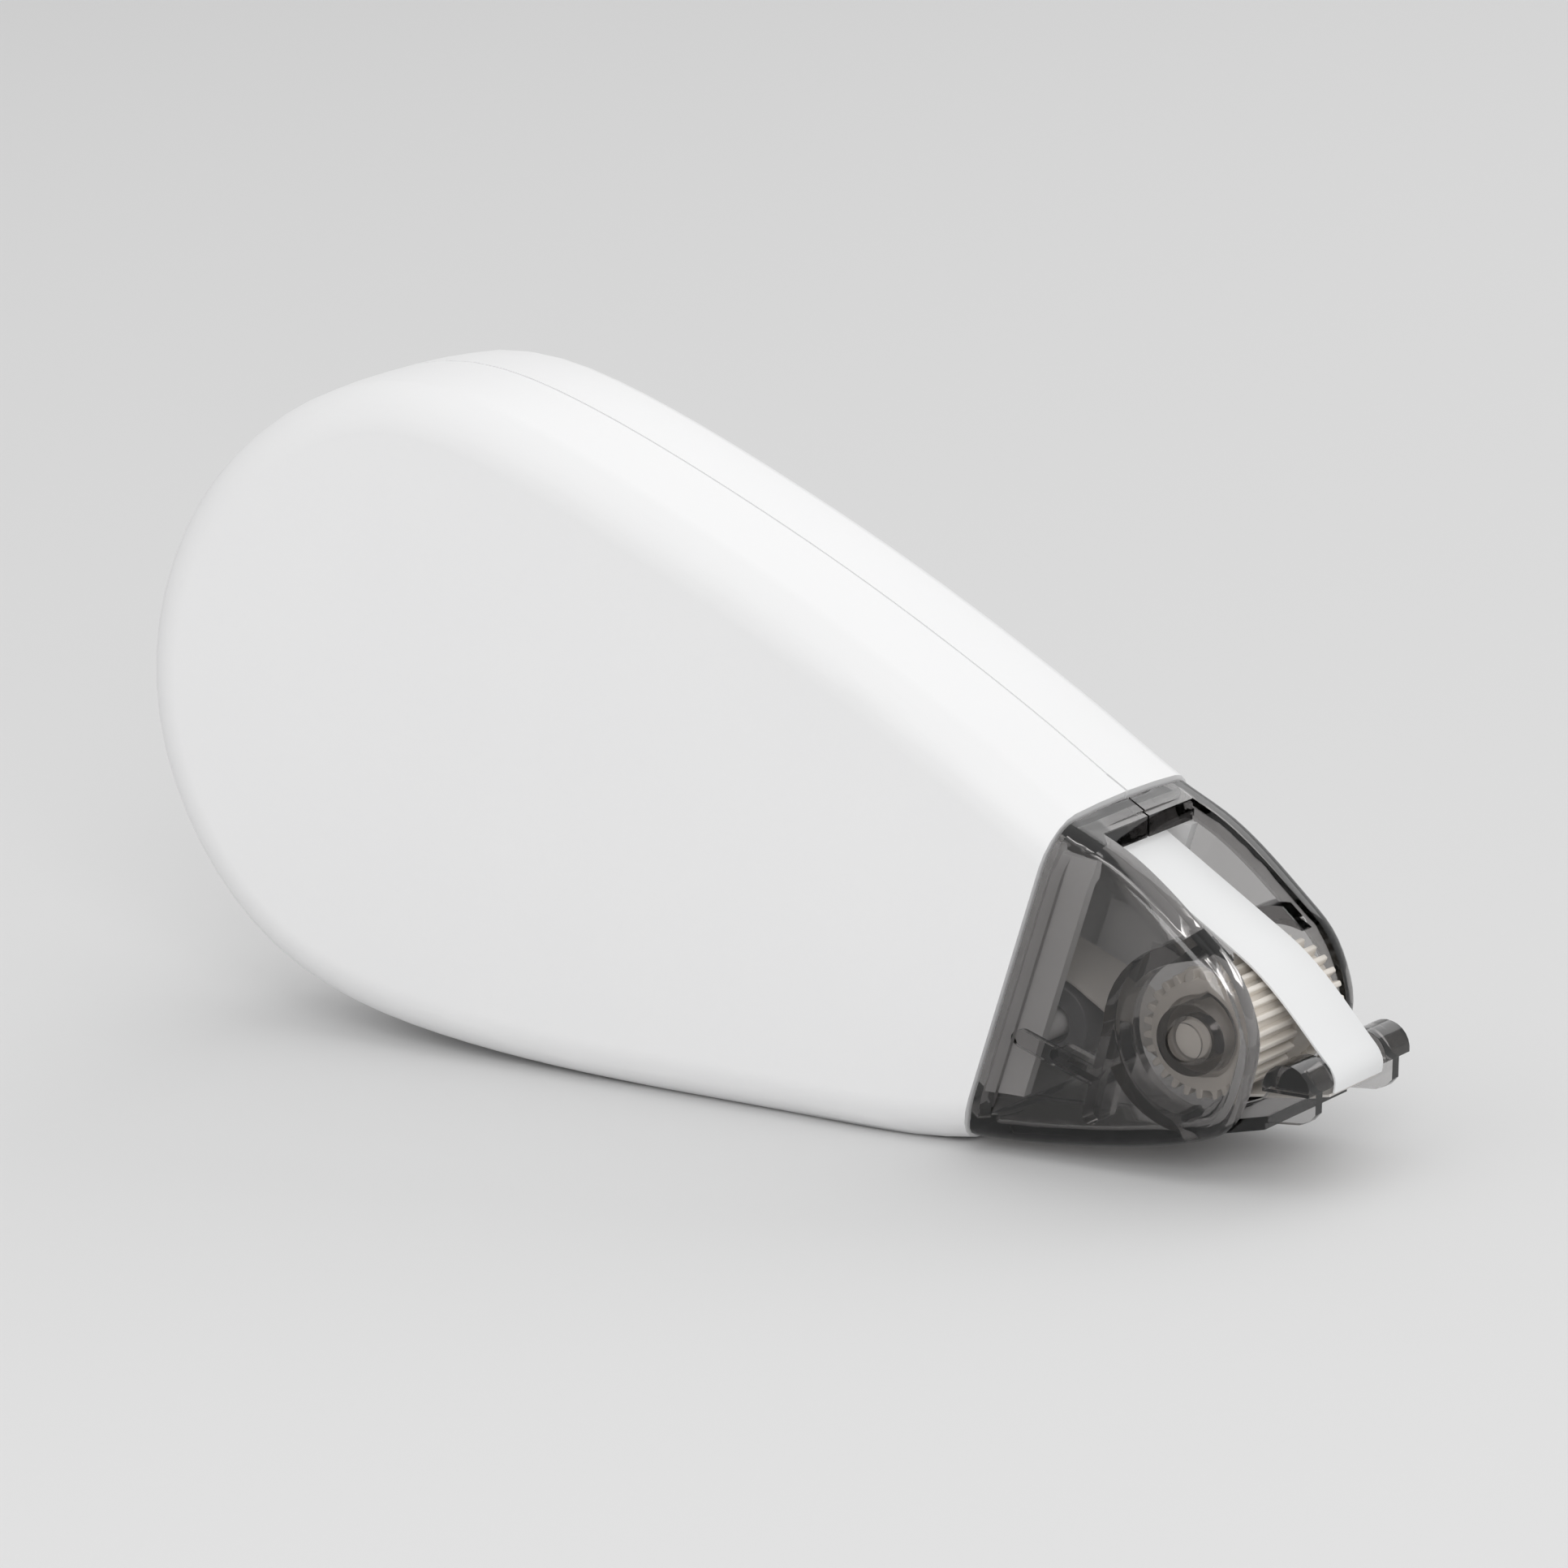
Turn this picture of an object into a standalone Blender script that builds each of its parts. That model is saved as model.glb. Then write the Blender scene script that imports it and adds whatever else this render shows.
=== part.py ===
"""Correction tape: a white two-part case, a smoke-grey two-part nose and the tape drive inside.

The frame is in metres. +X points to the applicator tip, +Y to the right case half, +Z up.
The origin is on the floor, under the middle of the object's length.
"""

import math

import bmesh
import bpy
import numpy as np
from mathutils import Matrix, Vector

MM = 0.001

# Clearances between pieces
FIT_GAP = 0.30 * MM
SPLIT_GAP = 0.20 * MM

# Tape
TAPE_WIDTH = 5.8 * MM
TAPE_THICKNESS = 0.16 * MM
FULL_WIND = 6.9 * MM
SPENT_WIND = 1.1 * MM
TAPE_OFF_PIN = 58
TAPE_LEAD = 13.5 * MM
TAPE_ON_BAR = 43
TAPE_END = (-12, -36)
FILM_START = 288

# Drive gears of the two reels
DRIVE_MODULE = 0.5 * MM
SUPPLY_TEETH = 68
TAKE_UP_TEETH = 32
DRIVE_FACE = 2.2 * MM
DRIVE_SIDE_GAP = 0.5 * MM
SUPPLY_AXIS_X = -20.5 * MM
TAKE_UP_DROP = 9.5 * MM

# Posts, hubs and reels
SUPPLY_POST_RADIUS = 2.5 * MM
TAKE_UP_POST_RADIUS = 2.0 * MM
HUB_WALL = 1.4 * MM
CORE_WALL = 1.2 * MM
SPRING_THICKNESS = 0.6 * MM
SPRING_LENGTH = 3.6 * MM
SPRING_MOUTH = 40
FLANGE_THICKNESS = 0.9 * MM
FLANGE_RISE = 1.6 * MM
FLANGE_GAP = 0.4 * MM
COVER_THICKNESS = 0.4 * MM
CAP_THICKNESS = 0.8 * MM
CAP_RIM = 2.2 * MM

# Case
CASE_WALL = 1.4 * MM
CASE_EDGE = 2.7 * MM
CASE_CROWN = 0.5 * MM
RIM_CLEARANCE = 2.6 * MM
TOP_BULGE = 1.5 * MM
BELLY_RISE = 0.4 * MM
BELLY_DROP = 0.35 * MM
BACK_LINE_START = Vector((0.28, 0.957))

# Flat foot under the belly
FOOT_PROUD = 0.05 * MM
FOOT_HEIGHT = 0.9 * MM
FOOT_HALF_WIDTH = 3.6 * MM
FOOT_BACK = 3.5 * MM
FOOT_FRONT = 7.0 * MM

# Collar, where the case ends and the nose begins: all of the nose is placed from its top
COLLAR_X = 25.9 * MM
COLLAR_Z = 21.54 * MM
COLLAR_TILT = math.radians(17.8)
COLLAR_LOW = 0.08 * MM
COLLAR_BAND = 1.45 * MM
COLLAR_INSET = 0.3 * MM
COLLAR_WALL = 1.0 * MM
TONGUE_REACH = 2.4 * MM
TONGUE_THICKNESS = 0.8 * MM
TONGUE_LOW = 3.5 * MM
TONGUE_HIGH = 18.6 * MM
BULKHEAD = 1.2 * MM

# Nose: its round front is drawn about a middle point, placed from the collar's top
NOSE_MIDDLE_AHEAD = Vector((7.87 * MM, -12.87 * MM))
CHEEK_STEP = 0.7 * MM
CHEEK_TIP_Y = 7.4 * MM
CHEEK_EDGE = 1.8 * MM
NOSE_INSET = 0.55 * MM
NOSE_WALL = 1.2 * MM
WINDOW_WIDTH = 10.6 * MM
BRIDGE_FRONT = 1.5 * MM
FLOOR_FRONT = 0.5 * MM
RIB_THICKNESS = 1.1 * MM
RIB_DEPTH = 2.4 * MM
STRUT_DEPTH = 0.5 * MM
STRUT_DROP = 1.5 * MM
STRUT_WALL = 2.0 * MM
STRUT_JOIN = 0.6
TAIL_DEPTH = 2.16 * MM
TAIL_LENGTH = 5.8 * MM
TAIL_ANGLE = 256
SNAP_DEPTH = 1.0 * MM
SNAP_LOW = 8.7 * MM
SNAP_HIGH = 12.9 * MM

# Winder wheel in the nose
WINDER_AHEAD = Vector((8.4 * MM, -12.7 * MM))
WINDER_MODULE = 0.28 * MM
WINDER_TEETH = 26
WINDER_NEAR_RIM = 4.65 * MM
WINDER_FAR_RIM = 2.2 * MM
WINDER_GROOVE = 0.4 * MM
WINDER_SIDE_GAP = 1.1 * MM
WINDER_PIN_RADIUS = 1.2 * MM
WINDER_RECESS_DEPTH = 1.0 * MM
BOSS_WALL = 0.7 * MM
DIMPLE_DEPTH = 0.35 * MM
HOOD_GAP = 0.85 * MM
HOOD_START = 72
LEFT_HOOD_END = 264
RIGHT_HOOD_END = 140

# Guides of the tape
ROLLER_AHEAD = Vector((-11.4 * MM, -1.34 * MM))
ROLLER_RADIUS = 2.5 * MM
ROLLER_PIN_RADIUS = 0.9 * MM
GUIDE_PIN_AHEAD = Vector((-2.42 * MM, -1.92 * MM))
GUIDE_PIN_RADIUS = 0.6 * MM
GUIDE_EYE_WALL = 0.4 * MM
GUIDE_SIDE_GAP = 0.9 * MM
GUIDE_SEAT = 1.5 * MM

# Pawl behind the winder wheel
PAWL_REACH = 6.3 * MM
PAWL_ANGLE = 200
PAWL_POINT_ANGLE = 188
PAWL_PIN_RADIUS = 0.6 * MM
PAWL_HEAD_WALL = 0.6 * MM
PAWL_WIDTH = 1.4 * MM
PAWL_SIDE_GAP = 0.7 * MM

# Applicator tip
BAR_AHEAD = Vector((6.58 * MM, -2.47 * MM))
TIP_RADIUS = 1.7 * MM
LUG_AHEAD = Vector((0.15 * MM, 0.3 * MM))
LUG_RADIUS = 1.6 * MM
LUG_LENGTH = 3.0 * MM
LUG_EDGE = 0.45 * MM
BAR_FLAT_DROP = 0.2 * MM
FOLD_RADIUS = 0.6 * MM
FIN_GAP = 0.3 * MM
FIN_INSET = 1.1 * MM
FIN_THICKNESS = 0.8 * MM
HEAD_FLOOR_THICKNESS = 0.75 * MM

# Pegs that hold the case halves together
PEG_RADIUS = 1.5 * MM
PEG_TIP_RADIUS = 0.65 * MM
PEG_TIP_LENGTH = 2.5 * MM
PEGS = (Vector((-5.5 * MM, 4.2 * MM)), Vector((1.5 * MM, 30.6 * MM)))

# Sizes that follow from the ones above
TOOTH_RISE, TOOTH_FALL = 0.8, 1.1
HALF_TAPE = TAPE_WIDTH / 2
FLANGE_FAR_Y = -HALF_TAPE - FLANGE_GAP
FLANGE_NEAR_Y = FLANGE_FAR_Y - FLANGE_THICKNESS
DRIVE_FAR_Y = FLANGE_NEAR_Y - FIT_GAP
DRIVE_NEAR_Y = DRIVE_FAR_Y - DRIVE_FACE
HALF_WIDTH = DRIVE_SIDE_GAP - DRIVE_NEAR_Y + CASE_WALL
ANCHOR_Y = HALF_WIDTH - CASE_WALL / 2
CHEEK_Y = HALF_WIDTH - CHEEK_STEP
CHEEK_INNER_Y = CHEEK_Y - NOSE_WALL
CHEEK_ROOT_Y = CHEEK_Y - NOSE_WALL / 2
SUPPLY_PITCH = DRIVE_MODULE * SUPPLY_TEETH / 2
TAKE_UP_PITCH = DRIVE_MODULE * TAKE_UP_TEETH / 2
CASE_ROUND = SUPPLY_PITCH + TOOTH_RISE * DRIVE_MODULE + RIM_CLEARANCE + CASE_WALL
SUPPLY_AXIS = Vector((SUPPLY_AXIS_X, CASE_ROUND - BELLY_RISE))
DRIVE_SPREAD = SUPPLY_PITCH + TAKE_UP_PITCH
TAKE_UP_AXIS = SUPPLY_AXIS + Vector((math.sqrt(DRIVE_SPREAD**2 - TAKE_UP_DROP**2), -TAKE_UP_DROP))
SPRING_INNER = SUPPLY_POST_RADIUS + FIT_GAP + HUB_WALL + FIT_GAP
SPRING_OUTER = SPRING_INNER + SPRING_THICKNESS
SUPPLY_CORE = SPRING_OUTER + FIT_GAP
TAKE_UP_CORE = TAKE_UP_POST_RADIUS + FIT_GAP + HUB_WALL + FIT_GAP
FULL_ROLL_RADIUS = SUPPLY_CORE + CORE_WALL + FIT_GAP + FULL_WIND
SPENT_ROLL_RADIUS = TAKE_UP_CORE + CORE_WALL + FIT_GAP + SPENT_WIND
CORE_END_Y = HALF_TAPE + FIT_GAP
COVER_NEAR_Y = CORE_END_Y + FIT_GAP
COVER_FAR_Y = COVER_NEAR_Y + COVER_THICKNESS
CAP_NEAR_Y = COVER_FAR_Y + FIT_GAP
CAP_FAR_Y = CAP_NEAR_Y + CAP_THICKNESS
COLLAR_TOP = Vector((COLLAR_X, COLLAR_Z))
NOSE_MIDDLE = COLLAR_TOP + NOSE_MIDDLE_AHEAD
WINDER_AXIS = COLLAR_TOP + WINDER_AHEAD
ROLLER_AXIS = WINDER_AXIS + ROLLER_AHEAD
GUIDE_PIN_AXIS = COLLAR_TOP + GUIDE_PIN_AHEAD
WINDER_TIP = WINDER_MODULE * (WINDER_TEETH / 2 + TOOTH_RISE)
WINDER_ROOT = WINDER_MODULE * (WINDER_TEETH / 2 - TOOTH_FALL)
BOSS_BORE = WINDER_PIN_RADIUS + FIT_GAP
BOSS_RADIUS = BOSS_BORE + BOSS_WALL
HOOD_RADIUS = WINDER_TIP + HOOD_GAP
BAR_AXIS = NOSE_MIDDLE + BAR_AHEAD
COLLAR_HEIGHT = COLLAR_Z - COLLAR_LOW
COLLAR_BOTTOM = COLLAR_TOP - Vector((math.tan(COLLAR_TILT), 1)) * COLLAR_HEIGHT
TAPE_LIFT = FIT_GAP + TAPE_THICKNESS / 2
BAR_RADIUS = TIP_RADIUS - TAPE_LIFT
FIN_Y = HALF_TAPE + FIN_GAP
GUIDE_EYE = GUIDE_PIN_RADIUS + FIT_GAP
GUIDE_BOSS_Y = HALF_TAPE + GUIDE_SIDE_GAP
GUIDE_END_Y = GUIDE_BOSS_Y + GUIDE_SEAT
PAWL_BACK = math.radians(PAWL_ANGLE)
PAWL_AXIS = WINDER_AXIS + Vector((math.cos(PAWL_BACK), math.sin(PAWL_BACK))) * PAWL_REACH
FAR = 80 * MM

for old in list(bpy.data.objects):
    bpy.data.objects.remove(old, do_unlink=True)

PARTS = bpy.data.collections.new("correction_tape")
CUTTERS = bpy.data.collections.new("cutters")
for group in (PARTS, CUTTERS):
    bpy.context.scene.collection.children.link(group)


def plastic(name, colour, roughness, metallic=0.0, clear=0.0):
    material = bpy.data.materials.new(name)
    material.use_nodes = True
    shader = material.node_tree.nodes["Principled BSDF"]
    shader.inputs["Base Color"].default_value = (*colour, 1)
    shader.inputs["Roughness"].default_value = roughness
    shader.inputs["Metallic"].default_value = metallic
    shader.inputs["Transmission Weight"].default_value = clear
    return material


WHITE = plastic("white_case_plastic", (0.80, 0.80, 0.80), 0.42)
SMOKE = plastic("smoke_clear_plastic", (0.16, 0.155, 0.155), 0.12, clear=0.8)
CREAM = plastic("cream_gear_plastic", (0.78, 0.73, 0.66), 0.40)
GREY = plastic("grey_roller_plastic", (0.13, 0.13, 0.14), 0.35)
CLEAR = plastic("clear_disc", (0.85, 0.87, 0.88), 0.10, clear=0.9)
TAPE = plastic("white_tape", (0.88, 0.88, 0.88), 0.65)
FILM = plastic("backing_film", (0.72, 0.70, 0.66), 0.45)
STEEL = plastic("guide_steel", (0.60, 0.60, 0.62), 0.25, metallic=1.0)


def place(name, mesh, material=None, axis=None):
    """A part with its material and its origin on its axis, or a cutter that never renders."""
    thing = bpy.data.objects.new(name, mesh)
    if material:
        PARTS.objects.link(thing)
        mesh.materials.append(material)
        mesh.shade_smooth()
        mesh.set_sharp_from_angle(angle=math.radians(32))
    else:
        CUTTERS.objects.link(thing)
        thing.hide_render = True
        thing.display_type = "WIRE"
    if axis:
        mesh.transform(Matrix.Translation((-axis.x, 0, -axis.y)))
        thing.location = (axis.x, 0, axis.y)
    return thing


def settled(thing):
    """The thing's shape as a closed mesh in world space, and the thing removed."""
    bpy.context.view_layer.update()
    graph = bpy.context.evaluated_depsgraph_get()
    mesh = bpy.data.meshes.new_from_object(thing.evaluated_get(graph))
    mesh.transform(thing.matrix_world)
    name = thing.name
    bpy.data.objects.remove(thing, do_unlink=True)
    shape = bmesh.new()
    shape.from_mesh(mesh)
    bmesh.ops.remove_doubles(shape, verts=shape.verts, dist=0.001 * MM)
    bmesh.ops.recalc_face_normals(shape, faces=shape.faces)
    shape.to_mesh(mesh)
    shape.free()
    mesh.materials.clear()
    mesh.name = name
    return mesh


def slab(name, outlines, near_y, far_y):
    """A flat plate across Y: the first outline is its edge, the others are holes in it."""
    curve = bpy.data.curves.new(name, "CURVE")
    curve.dimensions = "2D"
    curve.fill_mode = "BOTH"
    curve.extrude = abs(far_y - near_y) / 2
    for outline in outlines:
        spline = curve.splines.new("POLY")
        spline.points.add(len(outline) - 1)
        for point, (x, z) in zip(spline.points, outline):
            point.co = (x, z, 0, 1)
        spline.use_cyclic_u = True
    plate = bpy.data.objects.new(name, curve)
    CUTTERS.objects.link(plate)
    middle = Matrix.Translation((0, (near_y + far_y) / 2, 0))
    plate.matrix_world = middle @ Matrix.Rotation(math.pi / 2, 4, "X")
    return settled(plate)


def turned(name, profile, axis, steps=48):
    """A body turned about a line along Y: the profile holds radius and Y pairs, in a closed loop."""
    mesh = bpy.data.meshes.new(name)
    points = [(radius, 0, -y) for radius, y in profile]
    count = len(points)
    mesh.from_pydata(points, [(i, (i + 1) % count) for i in range(count)], [])
    body = bpy.data.objects.new(name, mesh)
    CUTTERS.objects.link(body)
    screw = body.modifiers.new("turn", "SCREW")
    screw.axis = "Z"
    screw.steps = screw.render_steps = steps
    screw.use_merge_vertices = True
    screw.merge_threshold = 0.001 * MM
    body.matrix_world = Matrix.Translation((axis.x, 0, axis.y)) @ Matrix.Rotation(math.pi / 2, 4, "X")
    return settled(body)


def tube(name, axis, inner, outer, near_y, far_y, steps=48):
    return turned(name, [(inner, near_y), (outer, near_y), (outer, far_y), (inner, far_y)], axis, steps)


def rod(name, axis, radius, near_y, far_y, sides=40):
    """A round bar along Y between two heights."""
    shape = bmesh.new()
    bmesh.ops.create_cone(
        shape, cap_ends=True, segments=sides, radius1=radius, radius2=radius, depth=abs(far_y - near_y)
    )
    bmesh.ops.rotate(shape, verts=shape.verts, matrix=Matrix.Rotation(math.pi / 2, 3, "X"))
    bmesh.ops.translate(shape, verts=shape.verts, vec=(axis.x, (near_y + far_y) / 2, axis.y))
    mesh = bpy.data.meshes.new(name)
    shape.to_mesh(mesh)
    shape.free()
    return mesh


def bevelled(mesh, width, segments=2):
    """The mesh with its sharp edges rounded."""
    thing = place(mesh.name, mesh)
    bevel = thing.modifiers.new("edge", "BEVEL")
    bevel.width = width
    bevel.segments = segments
    bevel.limit_method = "ANGLE"
    bevel.angle_limit = math.radians(40)
    return settled(thing)


def combine(thing, operation, mesh):
    """A Boolean of the thing with a mesh, which stays as a hidden cutter."""
    boolean = thing.modifiers.new(mesh.name, "BOOLEAN")
    boolean.operation = operation
    boolean.solver = "MANIFOLD"
    boolean.object = place(mesh.name, mesh)


def arc(centre, radius, start, end, count):
    """Points on a circle in the XZ plane, from one angle to another, in degrees from +X to +Z."""
    angles = np.radians(np.linspace(start, end, count))
    return [(centre[0] + radius * math.cos(a), centre[1] + radius * math.sin(a)) for a in angles]


def circle(centre, radius, count=32):
    return arc(centre, radius, 0, 360, count + 1)[:-1]


def smooth_loop(knots, count):
    """A closed curve with even curvature through the knots, as equally spaced points."""
    knots = np.array([tuple(knot) for knot in knots])
    number = len(knots)
    steps = np.linalg.norm(np.roll(knots, -1, 0) - knots, axis=1) ** 0.5
    before = np.roll(steps, 1)
    rise = (np.roll(knots, -1, 0) - knots) / steps[:, None]
    system = np.diag(2 * (steps + before))
    for i in range(number):
        system[i, (i + 1) % number] += steps[i]
        system[i, i - 1] += before[i]
    bend = np.linalg.solve(system, 6 * (rise - np.roll(rise, 1, 0)))
    dense = []
    for i in range(number):
        j = (i + 1) % number
        t = np.linspace(0, steps[i], 40, endpoint=False)[:, None]
        u = steps[i] - t
        dense.append(
            (bend[i] * u**3 + bend[j] * t**3) / (6 * steps[i])
            + (knots[i] / steps[i] - bend[i] * steps[i] / 6) * u
            + (knots[j] / steps[i] - bend[j] * steps[i] / 6) * t
        )
    dense = np.concatenate(dense + [dense[0][:1]])
    run = np.concatenate([[0], np.cumsum(np.linalg.norm(np.diff(dense, axis=0), axis=1))])
    at = np.linspace(0, run[-1], count, endpoint=False)
    return np.stack([np.interp(at, run, dense[:, k]) for k in (0, 1)], axis=1)


def inset_loop(loop, distance):
    """A clockwise loop moved inwards by a distance."""
    along = np.roll(loop, -1, 0) - np.roll(loop, 1, 0)
    inward = np.stack([along[:, 1], -along[:, 0]], axis=1)
    inward /= np.linalg.norm(inward, axis=1)[:, None]
    return loop + inward * distance


def top_line(share):
    """A point on the case's back line, from the round end (0) to the collar (1) and past it."""
    start = SUPPLY_AXIS + BACK_LINE_START * CASE_ROUND
    straight = start.lerp(COLLAR_TOP, share)
    return straight + Vector((0, TOP_BULGE * 4 * share * (1 - share)))


def case_loop():
    """The case's side outline, clockwise, closed in front of the collar by a wide round."""
    swell = ((240, 0.944), (214, 0.969), (187, 1.002), (160, 1.02), (131, 1.023), (100, 1.028))
    round_back = [Vector(arc(SUPPLY_AXIS, CASE_ROUND * share, a, a, 1)[0]) for a, share in swell]
    back_line = [top_line(share) for share in (0.0, 0.3, 0.6, 0.88, 1.0)]
    front = [NOSE_MIDDLE + Vector((0.08, rise)) * WINDER_TIP for rise in (1.71, -0.57)]
    length = COLLAR_BOTTOM.x - SUPPLY_AXIS.x
    hang = ((0.72, 0.95), (0.37, 0.57), (0.013, -2.1))
    belly = [Vector((SUPPLY_AXIS.x + share * length, -BELLY_DROP * drop)) for share, drop in hang]
    return smooth_loop(round_back + back_line + front + [COLLAR_BOTTOM] + belly, 88)


def nose_loop():
    """The nose's side outline, clockwise, closed behind the collar inside the case."""
    inside = ((-0.66, -0.35), (-0.64, 0.01), (-0.53, 0.24))
    back = [COLLAR_TOP + Vector(point) * COLLAR_HEIGHT for point in inside]
    top = [top_line(share) for share in (0.86, 1.0)]
    above = ((-1.13, 2.89), (-0.26, 2.28), (0.38, 1.73))
    brow = [NOSE_MIDDLE + Vector(point) * WINDER_TIP for point in above]
    room = ((57, 1.54), (32, 1.36), (6, 1.31), (-13, 1.3), (-36, 1.4))
    front = [Vector(arc(NOSE_MIDDLE, WINDER_TIP * share, a, a, 1)[0]) for a, share in room]
    below = ((0.85, -1.4), (0.37, -1.71), (-1.45, -2.08))
    toe = [NOSE_MIDDLE + Vector(point) * WINDER_TIP for point in below]
    floor = [COLLAR_BOTTOM, COLLAR_BOTTOM + Vector((-0.25, 0.085)) * COLLAR_HEIGHT]
    return smooth_loop(floor + back + top + brow + front + toe, 104)


CASE_LOOP = case_loop()
NOSE_LOOP = nose_loop()


def half_cup(name, loop, side, inset, wall, depth, edge, crown=0.0, flat_floor=False):
    """Half of a hollow body: outer skin with a rounded edge, inner skin one wall further in."""

    def skin(extra, edge_radius, steps):
        straight = depth - extra - edge_radius
        rows = [(SPLIT_GAP / 2, 0.0), (straight * 0.55, 0.0)]
        rows += [
            (straight + edge_radius * math.sin(a), edge_radius * (1 - math.cos(a)))
            for a in np.linspace(0, math.pi / 2, steps)
        ]
        return [(inset + extra + turn + crown * (y / depth) ** 2, y) for y, turn in rows]

    outer = skin(0.0, edge, 6)
    inner = skin(wall, max(edge - wall, FIT_GAP), 4)
    shape = bmesh.new()
    rings = []
    for distance, y in inner[::-1] + outer:
        ring = inset_loop(loop, distance)
        if flat_floor and (distance, y) in outer:
            ring[:, 1] = np.maximum(ring[:, 1], FOOT_PROUD)
        rings.append([shape.verts.new((x, side * y, z)) for x, z in ring])
    count = len(loop)
    for first, second in zip(rings, rings[1:]):
        for i in range(count):
            j = (i + 1) % count
            shape.faces.new((first[i], first[j], second[j], second[i]))
    shape.faces.new(rings[0])
    shape.faces.new(rings[-1])
    bmesh.ops.recalc_face_normals(shape, faces=shape.faces)
    mesh = bpy.data.meshes.new(name)
    shape.to_mesh(mesh)
    shape.free()
    return mesh


def collar_point(z, forward=0.0):
    """A point of the tilted collar plane at a height, moved forward square to the plane."""
    x = COLLAR_TOP.x + math.tan(COLLAR_TILT) * (z - COLLAR_TOP.y)
    return (x + forward / math.cos(COLLAR_TILT), z)


def collar_slab(name, back, front, near_y, far_y, low=-FAR, high=FAR):
    """Everything between two planes along the collar, given by their distances in front of it."""
    ends = ((low, back), (low, front), (high, front), (high, back))
    return slab(name, [[collar_point(z, ahead) for z, ahead in ends]], near_y, far_y)


def past_band(x, z):
    """How far a point lies in front of the collar band."""
    return (x - collar_point(z)[0]) * math.cos(COLLAR_TILT) - COLLAR_BAND


NARROWING = (1 - CHEEK_TIP_Y / CHEEK_Y) / past_band(NOSE_MIDDLE.x + WINDER_TIP, NOSE_MIDDLE.y)


def nose_width(x, z):
    """The nose's width at a point as a share of its width at the collar band."""
    return 1 - NARROWING * past_band(x, z)


def narrowed(mesh):
    """The mesh squeezed across Y as the nose narrows towards the tip."""
    for vertex in mesh.vertices:
        vertex.co.y *= nose_width(vertex.co.x, vertex.co.z)
    return mesh


WINDER_END_Y = CHEEK_INNER_Y * nose_width(WINDER_AXIS.x + WINDER_TIP, WINDER_AXIS.y) - WINDER_SIDE_GAP
WINDER_RECESS_Y = WINDER_END_Y - WINDER_RECESS_DEPTH
WINDER_PIN_Y = CHEEK_INNER_Y * nose_width(WINDER_AXIS.x + WINDER_PIN_RADIUS, WINDER_AXIS.y) - FIT_GAP
TONGUE_FRONT = 1 - NARROWING * (TONGUE_REACH - COLLAR_BAND)
TONGUE_OUTER_Y = (CHEEK_INNER_Y - STRUT_DEPTH) * TONGUE_FRONT - FIT_GAP
TONGUE_INNER_Y = TONGUE_OUTER_Y - TONGUE_THICKNESS


def case_half(name, side):
    """One white half: shell, foot, bulkhead, tongue under the nose and the guide pin's socket."""
    shell = half_cup(
        name, CASE_LOOP, side, 0.0, CASE_WALL, HALF_WIDTH, CASE_EDGE, CASE_CROWN, flat_floor=True
    )
    case = place(name, shell, WHITE)
    combine(case, "DIFFERENCE", collar_slab(name + "_mouth", 0.0, FAR, -FAR, FAR))
    back, front = SUPPLY_AXIS.x + FOOT_BACK, COLLAR_BOTTOM.x - FOOT_FRONT
    sole = [(back, 0.0), (front, 0.0), (front, FOOT_HEIGHT), (back, FOOT_HEIGHT)]
    combine(case, "UNION", slab(name + "_foot", [sole], side * SPLIT_GAP, side * FOOT_HALF_WIDTH))
    tongue_y = (side * TONGUE_INNER_Y, side * TONGUE_OUTER_Y)
    wall_y = (side * (TONGUE_INNER_Y + TONGUE_THICKNESS / 4), side * ANCHOR_Y)
    lead = BULKHEAD / 2
    bulkhead = collar_slab(
        name + "_bulkhead", -BULKHEAD, -SPLIT_GAP / 4, *wall_y, TONGUE_LOW - lead, TONGUE_HIGH + lead
    )
    combine(case, "UNION", bulkhead)
    tongue = collar_slab(name + "_tongue", -lead, TONGUE_REACH, *tongue_y, TONGUE_LOW, TONGUE_HIGH)
    combine(case, "UNION", tongue)
    boss = GUIDE_EYE + GUIDE_EYE_WALL
    socket = rod(name + "_guide", GUIDE_PIN_AXIS, boss, side * GUIDE_BOSS_Y, side * ANCHOR_Y, 32)
    combine(case, "UNION", socket)
    eye_y = side * (GUIDE_END_Y + FIT_GAP)
    combine(case, "DIFFERENCE", rod(name + "_eye", GUIDE_PIN_AXIS, GUIDE_EYE, 0.0, eye_y, 24))
    return case


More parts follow.
